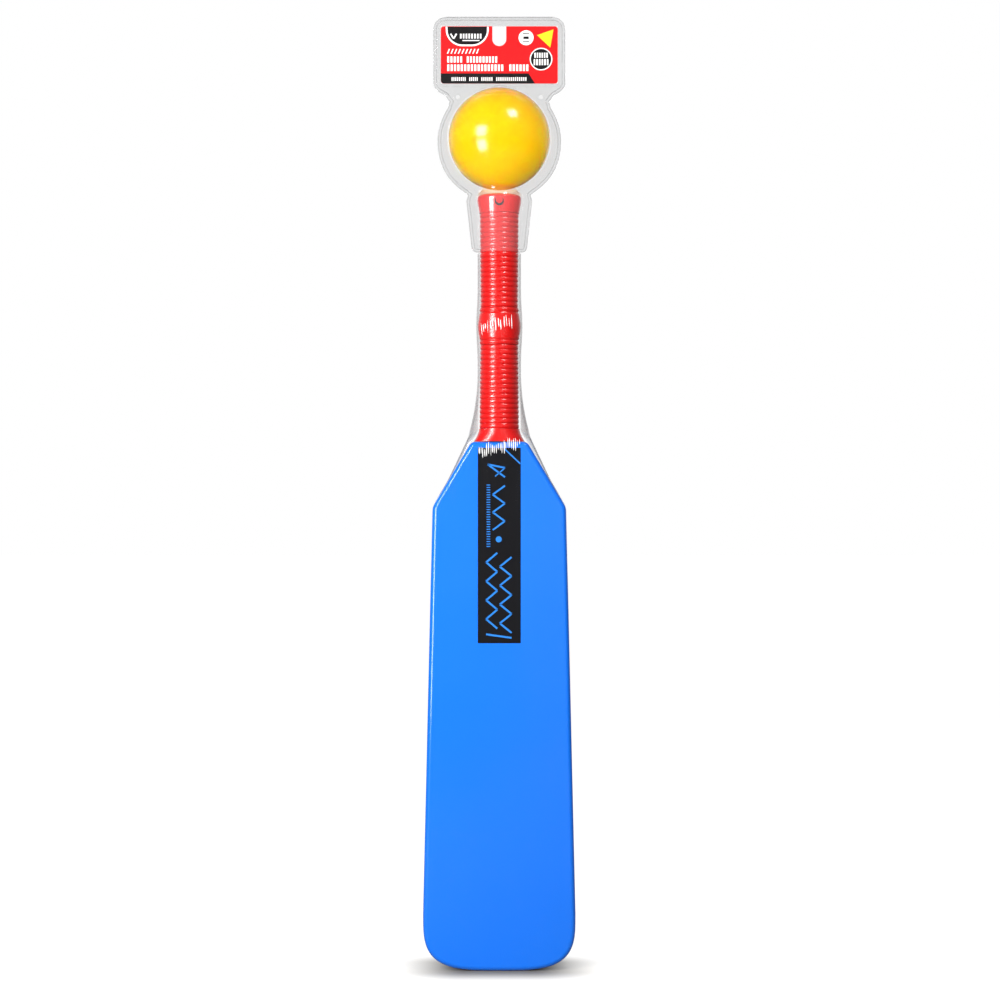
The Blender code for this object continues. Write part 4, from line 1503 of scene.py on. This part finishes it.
@dataclass
class Film:
    """Clear film shrunk over the handle and the shoulders."""

    blade: Blade
    handle: Handle
    wall: float = 0.2 * MM
    radius: float = 15.4 * MM
    over_collar: float = 1.0 * MM
    flare: float = 50.0 * MM
    top_half: float = 23.3 * MM
    clings: float = 0.6
    standoff: float = 0.3 * MM
    low: float = 312.0 * MM
    high: float = 503.7 * MM
    roof_power: float = 1.7
    crease_slope: float = 0.26
    crease_drop: float = 4.0 * MM
    around: int = 32
    handle_rows: int = 30
    flare_rows: int = 24
    shoulder_rows: int = 12

    def tube_radius(self, height: float) -> float:
        """Its radius as a tube at a height.

        Args:
            height: The height.

        Returns:
            The outer radius.
        """
        away = abs(height - self.handle.collar_middle) / self.handle.collar_length
        swell = 0.5 + 0.5 * math.cos(math.pi * min(1.0, away))
        return self.radius + self.over_collar * swell

    def half_width(self, height: float) -> float:
        """Half its width at a height.

        Args:
            height: The height.

        Returns:
            Half the outer width.
        """
        blade = self.blade
        over = blade.length + self.flare - height
        if over <= 0:
            return self.tube_radius(height)
        if height >= blade.length:
            return self.radius + (self.top_half - self.radius) * (over / self.flare) ** 2
        edge = self.standoff + self.wall
        if height > blade.shoulder_height:
            share = (blade.length - height) / (blade.length - blade.shoulder_height)
            under = blade.top_half + (blade.shoulder_half - blade.top_half) * share
            loose = self.top_half - blade.top_half - edge
            return under + edge + loose * max(0.0, 1 - share / self.clings)
        rise = blade.shoulder_height - blade.toe_height
        spread = (blade.half_width - blade.shoulder_half) / rise
        return blade.shoulder_half + (blade.shoulder_height - height) * spread + edge

    def quarter(self, half_width: float, half_depth: float, corner: float) -> Outline:
        """A quarter of a rounded rectangle, from its side to its flat.

        Args:
            half_width, half_depth: Half its sizes.
            corner: Its corner's radius.

        Returns:
            The points.
        """
        straight = half_width - corner
        count = self.around // 4
        points = [(half_width, (half_depth - corner) * (k + 0.5) / count) for k in range(count)]
        for k in range(self.around // 2):
            turn = QUARTER_TURN * k / (self.around // 2 - 1)
            points.append((straight + corner * math.cos(turn),
                           half_depth - corner * (1 - math.sin(turn))))
        return points + [(straight * (1 - (k + 0.5) / count), half_depth) for k in range(count)]

    def section(self, height: float, wall: float = 0.0) -> Ring:
        """One section, round on the handle and squared on the blade.

        Args:
            height: The section's height.
            wall: How far it is drawn in.

        Returns:
            The ring.
        """
        blade, rise = self.blade, self.handle.flare_height
        blend = min(1.0, max(0.0, (blade.length + rise - height) / rise))
        blend = blend * blend * (3 - 2 * blend)
        half_width = self.half_width(height) - wall
        spare = self.standoff + self.wall - wall
        square = self.quarter(half_width, blade.half_depth + spare, blade.edge + spare)
        points = []
        for i, (flat_x, flat_y) in enumerate(square):
            angle = QUARTER_TURN * (i + 0.5) / len(square)
            x = half_width * math.cos(angle)
            y = (self.tube_radius(height) - wall) * math.sin(angle)
            points.append((x + (flat_x - x) * blend, y + (flat_y - y) * blend))
        back = points + [(-x, y) for x, y in reversed(points)]
        under = min(1.0, max(0.0, blade.length - height) / (blade.length - blade.spine_high))
        ring = [(x, y + blade.spine_rise * under * (1 - abs(x / half_width) ** self.roof_power),
                 height) for x, y in back]
        return ring + [(x, -y, height) for x, y in reversed(back)]

    def heights(self) -> list[float]:
        """The heights of its sections, closer where it flares.

        Returns:
            The heights from the top down.
        """
        blade, levels = self.blade, []
        for top, foot, rows in (
                (self.high, blade.length + self.flare, self.handle_rows),
                (blade.length + self.flare, blade.length, self.flare_rows),
                (blade.length, blade.shoulder_height, self.shoulder_rows)):
            levels += [top + (foot - top) * k / rows for k in range(rows)]
        return levels + [blade.shoulder_height, self.low]

    def path(self, height: float, side: int, slope: float) -> bpy.types.Mesh:
        """A polyline along half of its outside, for creases.

        Args:
            height: The polyline's height in the middle.
            side: -1 for the half in front and 1 for the half behind.
            slope: How far it rises to the right.

        Returns:
            A mesh of edges.
        """
        ring = self.section(height)
        half = len(ring) // 2
        ring = [(x, y, z + slope * x) for x, y, z in (ring[half:] if side < 0 else ring[:half])]
        mesh = bpy.data.meshes.new("crease_path")
        edges = [(i, i + 1) for i in range(len(ring) - 1)]
        mesh.from_pydata(ring, edges, [])
        return mesh

    def build(self, kit: GeometryKit) -> None:
        """Build and dress the film and its creases.

        Args:
            kit: The geometry kit.
        """
        heights = self.heights()
        rings = [self.section(height) for height in heights]
        rings += [self.section(height, self.wall) for height in reversed(heights)]
        dress(stand(loft("shrunk_film", rings, closed=True)), CLEAR_FILM.build(), Body.BAT,
              Slot.FILM, "film_sleeve")
        tree = kit.creases()
        glint = CREASE_HIGHLIGHT.build()
        collar = self.handle.collar_middle + MM
        shoulder = self.blade.length - self.crease_drop
        for band in (
                CreaseBand("collar_creases", collar, -1, 13, (0.2, 0.7), 5.2 * MM, 1.2 * MM, 7,
                           -0.14),
                CreaseBand("collar_creases_back", collar, 1, 11, (0.3, 0.8), 4.6 * MM, 1.6 * MM,
                           3, -0.1),
                CreaseBand("shoulder_creases", shoulder, -1, 22, (0.3, 0.7), 5.2 * MM, 1.8 * MM,
                           21, -0.03)):
            grown = kit.grow(band.name, tree, band.values(glint),
                             self.path(band.height, band.side, self.crease_slope))
            dress(grown, glint, Body.BAT, Slot.FILM)


# Clamshell

@dataclass
class Clamshell:
    """Two clear formed sheets folded over at the top."""

    panel_top: float = 671.0 * MM
    panel_half: float = 46.6 * MM
    panel_corner: float = 8.5 * MM
    fold_radius: float = 0.45 * MM
    fold_half: float = 37.6 * MM
    fold_tall: float = 0.35 * MM
    fold_drop: float = 0.1 * MM
    ball_centre: float = BALL_CENTRE
    soft_edge: float = 0.22 * MM
    rim_radius: float = 43.8 * MM
    rim_angles: tuple[int, int] = (-47, 37)
    rim_steps: int = 18
    edge_step: float = 2 * MM
    panel_foot: float = 623.0 * MM
    foot_corner: float = 5.6 * MM
    neck_half: float = 23.3 * MM
    neck_top_half: float = 22.1 * MM
    neck_angle: int = -65
    neck_corner: float = 540.9 * MM
    mouth_half: float = 19.3 * MM
    mouth: float = 504.7 * MM
    mouth_corner: float = 3.8 * MM
    eases: tuple[Flat, ...] = (
        (546 * MM, 0.0), (550 * MM, 1.5 * MM), (554.5 * MM, 1.8 * MM), (562 * MM, 1.3 * MM),
        (570 * MM, 0.7 * MM), (581 * MM, 0.0), (593 * MM, -0.5 * MM), (602 * MM, -1.3 * MM),
        (607 * MM, -1.6 * MM), (610.5 * MM, 0.0), (612.3 * MM, 0.1 * MM), (615.3 * MM, -1.2 * MM),
        (618 * MM, 1.0 * MM), (620 * MM, 1.1 * MM), (625 * MM, 0.0))
    ease_reach: float = 4 * MM
    dome_foot: float = 37.6 * MM
    snap_clear: float = 32.5 * MM
    neck_clear: float = 17.0 * MM
    border_face: float = 0.65 * MM
    bead_width: float = 0.6 * MM
    bead_rise: float = 0.3 * MM
    bead_steps: int = 6

    def eased(self, x: float, height: float) -> float:
        """Ease a point of the flat rim, so that the edge rounds softly into panel and neck.

        Args:
            x, height: The point's place.

        Returns:
            Its new x.
        """
        shift = 0.0
        for (low, first), (high, second) in zip(self.eases, self.eases[1:]):
            if low <= height < high:
                shift = first + (second - first) * (height - low) / (high - low)
        dome = math.sqrt(max(0.0, self.dome_foot ** 2 - (height - self.ball_centre) ** 2))
        foot = max(dome, self.snap_clear if height > self.ball_centre else self.neck_clear)
        share = min(1.0, max(0.0, (abs(x) - foot) / self.ease_reach))
        return x + shift * math.copysign(share, x)

    def eased_copy(self, node: str) -> bpy.types.Mesh:
        """A sheet's merged copy with its rim eased.

        Args:
            node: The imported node.

        Returns:
            The mesh.
        """
        mesh = merged_copy(node)
        built = bmesh.new()
        built.from_mesh(mesh)
        for height, _ in self.eases:
            bmesh.ops.bisect_plane(built, geom=built.verts[:] + built.edges[:] + built.faces[:],
                                   plane_co=(0, 0, height), plane_no=(0, 0, 1))
        for vert in built.verts:
            vert.co.x = self.eased(vert.co.x, vert.co.z)
        built.to_mesh(mesh)
        built.free()
        return mesh

    def sheets(self) -> None:
        """Dress the two formed sheets with softened folds."""
        clear = CLEAR_SHEET.build()
        for node, body in (("blister_back", Body.CARRIER), ("blister_front", Body.FRONT_SHELL)):
            item = stand(self.eased_copy(node))
            round_off = item.modifiers.new("folds", "BEVEL")
            round_off.width = self.soft_edge
            round_off.segments = 2
            round_off.limit_method = "ANGLE"
            round_off.angle_limit = math.radians(FOLD_DEGREES)
            item = baked(item)
            shade(item.data, FOLD_DEGREES)
            dress(item, clear, body, Slot.SHEET, node)
        crown = plate(0, self.panel_top - self.fold_drop, self.fold_half, self.fold_tall)
        fold = stand(slab("hinge_fold", [crown], -self.fold_radius, self.fold_radius))
        dress(fold, clear, Body.CARRIER, Slot.SHEET)

    def edge(self) -> Outline:
        """The sheets' edge: a header panel, a round waist about the ball and a neck.

        Returns:
            A counter-clockwise outline.
        """
        notch = self.ball_centre + self.rim_radius * math.sin(math.radians(self.neck_angle))
        corners = [(0.0, self.mouth, 0), (self.mouth_half, self.mouth, self.mouth_corner),
                   (self.neck_half, self.neck_corner, 0), (self.neck_top_half, notch, 0)]
        low, high = self.rim_angles
        for k in range(self.rim_steps + 1):
            angle = math.radians(low + (high - low) * k / self.rim_steps)
            corners.append((self.rim_radius * math.cos(angle),
                            self.ball_centre + self.rim_radius * math.sin(angle), 0))
        corners += [(self.panel_half, self.panel_foot, self.foot_corner),
                    (self.panel_half, self.panel_top, self.panel_corner),
                    (0.0, self.panel_top, 0)]
        corners, half = rounded(corners), []
        for here, there in zip(corners, corners[1:]):
            pieces = max(1, round(math.dist(here, there) / self.edge_step))
            for k in range(pieces):
                x, z = (a + (b - a) * k / pieces for a, b in zip(here, there))
                half.append((self.eased(x, z), z))
        half.append(corners[-1])
        return half + [(-x, z) for x, z in reversed(half[1:-1])]

    def beads(self) -> None:
        """Build and dress the soft folds along the edge and along the step inside it."""
        clear = SHEET_BEAD.build()
        edge = self.edge()
        for label, side, body in (("front", -1, Body.FRONT_SHELL), ("back", 1, Body.CARRIER)):
            for part, inside in (("edge", 0.1 * MM), ("step", 1.9 * MM)):
                rings = []
                for k in range(self.bead_steps + 1):
                    turn = math.pi * k / self.bead_steps
                    across = inside + self.bead_width * (1 - math.cos(turn)) / 2
                    out = self.border_face + self.bead_rise * math.sin(turn)
                    rings.append([(x, out * side, z) for x, z in inset(edge, across)])
                bead = stand(loft(f"{part}_bead_{label}", rings, closed=True))
                dress(bead, clear, body, Slot.SHEET)

    def build(self) -> None:
        """Build and dress the clamshell."""
        self.sheets()
        self.beads()


# Header card and ball

@dataclass(frozen=True)
class BarRow:
    """A printed row of upright bars, in millimetres, its height counted from a base line."""

    left: float
    right: float
    height: float
    tall: float
    count: int
    share: float = 0.62
    lean: float = 0.0

    def outlines(self, base: float) -> list[Outline]:
        """The bars over a base line."""
        return bars(self.left * MM, self.right * MM, base + self.height * MM, self.tall * MM,
                    self.count, self.share, self.lean * MM)


@dataclass
class HeaderCard:
    """The printed card in the clamshell's tray, with a plain design of bars and discs."""

    low: float = CARD_LOW
    high: float = CARD_HIGH
    half: float = CARD_HALF
    front: float = 0.45 * MM
    ink_sunk: float = 0.005 * MM
    ink_proud: float = 0.04 * MM
    ink_step: float = 0.03 * MM
    small_disc: Flat = (18.9 * MM, 656.5 * MM)
    large_disc: Flat = (29.5 * MM, 641.4 * MM)
    tab_middle: float = 657.6 * MM
    white_rows: tuple[BarRow, ...] = (
        BarRow(-37.2, -14.1, 22.8, 1.7, 9, 0.34, 1.4), BarRow(-37.2, -25.8, 17.0, 2.2, 5),
        BarRow(-23.4, -1.1, 17.0, 2.2, 10), BarRow(-37.2, 3.3, 11.2, 2.3, 17),
        BarRow(6.6, 21.0, 11.2, 2.3, 6))
    light_rows: tuple[BarRow, ...] = (
        BarRow(-34.0, -23.5, 3.2, 1.3, 8, 0.56), BarRow(-21.5, -15.0, 3.2, 1.3, 5, 0.56),
        BarRow(-13.0, -4.5, 3.2, 1.3, 6, 0.56), BarRow(-2.5, 19.5, 3.2, 1.3, 15, 0.56),
        BarRow(24.4, 34.6, 20.0, 1.8, 6, 0.6), BarRow(23.9, 35.1, 15.1, 2.1, 6, 0.6))

    def rows(self, kinds: Sequence[BarRow]) -> list[Outline]:
        """All the bars of some rows."""
        return [bar for row in kinds for bar in row.outlines(self.low)]

    def tab(self, grow: float) -> Outline:
        """A round-ended tab that hangs from the card's top.

        Args:
            grow: How much larger than its black middle.

        Returns:
            The outline.
        """
        left, right, low = -36.6 * MM - grow, -8.7 * MM + grow, self.high - 12.9 * MM - grow
        top, bend = self.high - 0.3 * MM, 10.5 * MM + grow
        return rounded([(left, low, bend), (right, low, bend), (right, top, 0), (left, top, 0)])

    def white_shapes(self) -> list[Outline]:
        """The tab's edge, rows of bars and two discs."""
        return [self.tab(1.2 * MM), *self.rows(self.white_rows),
                disc(*self.small_disc, 5.3 * MM), disc(*self.large_disc, 8.0 * MM)]

    def black_shapes(self) -> list[Outline]:
        """The tab, the foot band, the dark disc and the marks on the white disc.

        Returns:
            The outlines.
        """
        x, z = self.small_disc
        left, foot, top = -self.half + 0.05 * MM, self.low + 0.05 * MM, self.low + 7.2 * MM
        band = rounded([(left, foot, 2.1 * MM), (25.2 * MM, foot, 0), (20.7 * MM, top, 0),
                        (left, top, 0)])
        return [self.tab(0.0), band, disc(*self.large_disc, 7.2 * MM),
                plate(x, z, 1.9 * MM, 0.9 * MM), plate(x, z + 2.8 * MM, 2.3 * MM, 0.3 * MM),
                plate(x, z - 2.8 * MM, 2.3 * MM, 0.3 * MM)]

    def yellow_shapes(self) -> list[Outline]:
        """A leaning triangle."""
        return [[(x * MM, self.high - drop * MM)
                 for x, drop in ((26.6, 6.3), (36.0, 15.1), (38.3, 2.2))]]

    def light_shapes(self) -> list[Outline]:
        """White marks on the tab, the foot band and the dark disc.

        Returns:
            The outlines.
        """
        middle = self.tab_middle
        high, low = middle + 1.7 * MM, middle - 1.8 * MM
        return [stroke((-34.4 * MM, high), (-32.2 * MM, low), 0.55 * MM),
                stroke((-32.2 * MM, low), (-30.2 * MM, high), 0.55 * MM),
                *bars(-28.2 * MM, -12.2 * MM, middle, 1.7 * MM, 8, 0.55),
                plate(-20.0 * MM, middle - 3.1 * MM, 6.0 * MM, 0.35 * MM),
                *self.rows(self.light_rows)]

    def build(self) -> None:
        """Dress the card and print its layers, each a little prouder than the last."""
        redress("header_card", CARD_RED.build())
        layers = (("card_print_white", INK_WHITE, self.white_shapes()),
                  ("card_print_black", INK_BLACK, self.black_shapes()),
                  ("card_print_yellow", INK_YELLOW, self.yellow_shapes()),
                  ("card_print_light", INK_WHITE, self.light_shapes()))
        for step, (name, finish, shapes) in enumerate(layers):
            proud = self.ink_proud + step * self.ink_step
            item = stand(slab(name, shapes, self.front - proud, self.front - self.ink_sunk))
            dress(item, finish.build(), Body.CARRIER, Slot.CARD)


@dataclass
class Ball:
    """The soft ball with a faint mould line round its middle."""

    centre: float = BALL_CENTRE
    radius: float = 36.0 * MM
    mould_line: float = 0.35 * MM
    mould_dip: float = 0.0016
    around: int = 128
    rows: int = 96

    def build(self) -> None:
        """Build and dress the ball."""
        built = bmesh.new()
        bmesh.ops.create_uvsphere(built, u_segments=self.around, v_segments=self.rows,
                                  radius=self.radius)
        for vert in built.verts:
            away = abs(vert.co.z) / self.mould_line
            vert.co *= 1 - self.mould_dip * math.exp(-away * away)
        bmesh.ops.translate(built, verts=built.verts, vec=(0, 0, self.centre))
        dress(stand(to_mesh("soft_ball", built, ROUND_DEGREES)), BALL_YELLOW.build(), Body.BALL,
              Slot.BALL, "ball")


# Studio

@dataclass(frozen=True)
class SoftBox:
    """One rectangular lamp."""

    name: str
    place: Point
    target: Point
    size: Flat
    radiance: float
    mirrored: bool = True
    spread: float = 180.0

    def build(self) -> None:
        """Set the lamp, pointed at its target."""
        data = bpy.data.lights.new(self.name, "AREA")
        data.shape = "RECTANGLE"
        data.size, data.size_y = self.size
        data.energy = self.radiance * math.pi * self.size[0] * self.size[1]
        data.spread = math.radians(self.spread)
        item = bpy.data.objects.new(self.name, data)
        bpy.context.scene.collection.objects.link(item)
        item.location = self.place
        item.visible_glossy = self.mirrored
        way = Vector(self.target) - Vector(self.place)
        item.rotation_euler = way.to_track_quat("-Z", "Y").to_euler()


@dataclass
class Studio:
    """Pale floor, soft light and the camera."""

    camera_side: float = 0.0005
    camera_distance: float = 1.624
    camera_height: float = 0.330
    lens: float = 82.8
    ambient: float = 0.14
    backdrop: float = 1.0
    backdrop_reach: Flat = (0.6, 0.95)
    floor_half: float = 12.0
    # floor_tone shows mostly where the glow fades near the toe, so its warm grey is the painted
    # shadow's colour.
    floor_tone: tuple[float, float, float, float] = (0.26, 0.243, 0.212, 1.0)
    floor_glow: float = 0.97
    shadow_half: Point = (0.022, 0.014, 1.0)
    shadow_reach: Point = (0.06, 0.04, 1.0)
    lamps: tuple[SoftBox, ...] = (
        SoftBox("left_low", (-0.52, -0.61, 0.3), (0, 0, 0.3), (0.27, 0.36), 15.0),
        SoftBox("left_high", (-0.52, -0.61, 0.73), (0, 0, 0.6), (0.31, 0.28), 15.0),
        SoftBox("top_box", (0.44, -0.53, 1.365), (0, 0, 0.585), (0.28, 0.28), 17.0),
        SoftBox("fill", (0.4, -1.25, 0.35), (0, 0, 0.4), (0.8, 1.0), 2.7, mirrored=False),
        SoftBox("ball_fill", (0.56, -0.315, 0.34), (0, 0, 0.585), (0.1, 0.1), 0.5,
                mirrored=False, spread=16.0),
        SoftBox("back_fill", (-0.5, 1.3, 0.6), (0, 0, 0.35), (0.8, 0.8), 2.0, mirrored=False))

    def floor(self) -> None:
        """Lay a white floor with a painted shadow under the toe: there the white glow fades out and
        the darker floor tone shows, with the real shade on it.
        """
        built = bmesh.new()
        size = self.floor_half
        built.faces.new([built.verts.new(p) for p in (
            (-size, -size, 0), (size, -size, 0), (size, size, 0), (-size, size, 0))])
        item = stand(to_mesh("studio_floor", built))
        made, board, shader = new_finish("floor_white")
        # Painted shadow: the camera's white glow only fades in past a reach from the toe's
        # footprint, so the floor darkens round the toe.
        past = board.vector("SUBTRACT", board.vector("ABSOLUTE", board.place()), self.shadow_half)
        kept = board.vector("MAXIMUM", past, (0.0, 0.0, 0.0))
        reach = board.vector("LENGTH", board.vector("DIVIDE", kept, self.shadow_reach),
                             output="Value")
        clear = board.put("ShaderNodeMapRange", {0: reach}, interpolation_type="SMOOTHSTEP",
                          clamp=True)[0]
        seen = board.put("ShaderNodeLightPath")["Is Camera Ray"]
        board.feed(shader, {
            "Base Color": self.floor_tone, "Roughness": 0.9, "Specular IOR Level": 0.0,
            "Emission Color": WHITE, "Emission Strength": seen * clear * self.floor_glow})
        item.data.materials.append(made)

    def world(self) -> None:
        """Dim light from all round, and a white backdrop."""
        world = bpy.data.worlds.new("studio")
        bpy.context.scene.world = world
        world.use_nodes = True
        board = Board(world.node_tree)
        behind = board.split(board.place("Generated"))[1]
        around = board.put("ShaderNodeMapRange", {
            0: behind, 1: self.backdrop_reach[0], 2: self.backdrop_reach[1], 3: self.ambient,
            4: self.backdrop}, clamp=True)[0]
        seen = board.put("ShaderNodeLightPath")["Is Camera Ray"]
        board.feed(world.node_tree.nodes["Background"], {
            "Color": WHITE, "Strength": board.math("MAXIMUM", seen, around)})

    def camera(self) -> None:
        """Set the level camera."""
        data = bpy.data.cameras.new("camera")
        data.lens = self.lens
        item = bpy.data.objects.new("camera", data)
        item.location = (self.camera_side, -self.camera_distance, self.camera_height)
        item.rotation_euler = (QUARTER_TURN, 0, 0)
        bpy.context.scene.collection.objects.link(item)
        bpy.context.scene.camera = item

    def build(self) -> None:
        """Set the whole studio."""
        bpy.context.scene.view_settings.view_transform = "Standard"
        self.camera()
        self.floor()
        self.world()
        for lamp in self.lamps:
            lamp.build()


def main() -> None:
    """Build every sub-assembly, then the studio."""
    logging.basicConfig(level=logging.INFO, format="%(name)s: %(message)s")
    kit = GeometryKit()
    blade = Blade()
    handle = Handle()
    blade.build()
    FacePanel().build()
    handle.build(kit)
    Film(blade, handle).build(kit)
    Clamshell().build()
    HeaderCard().build()
    Ball().build()
    Studio().build()


if __name__ == "__main__":
    main()
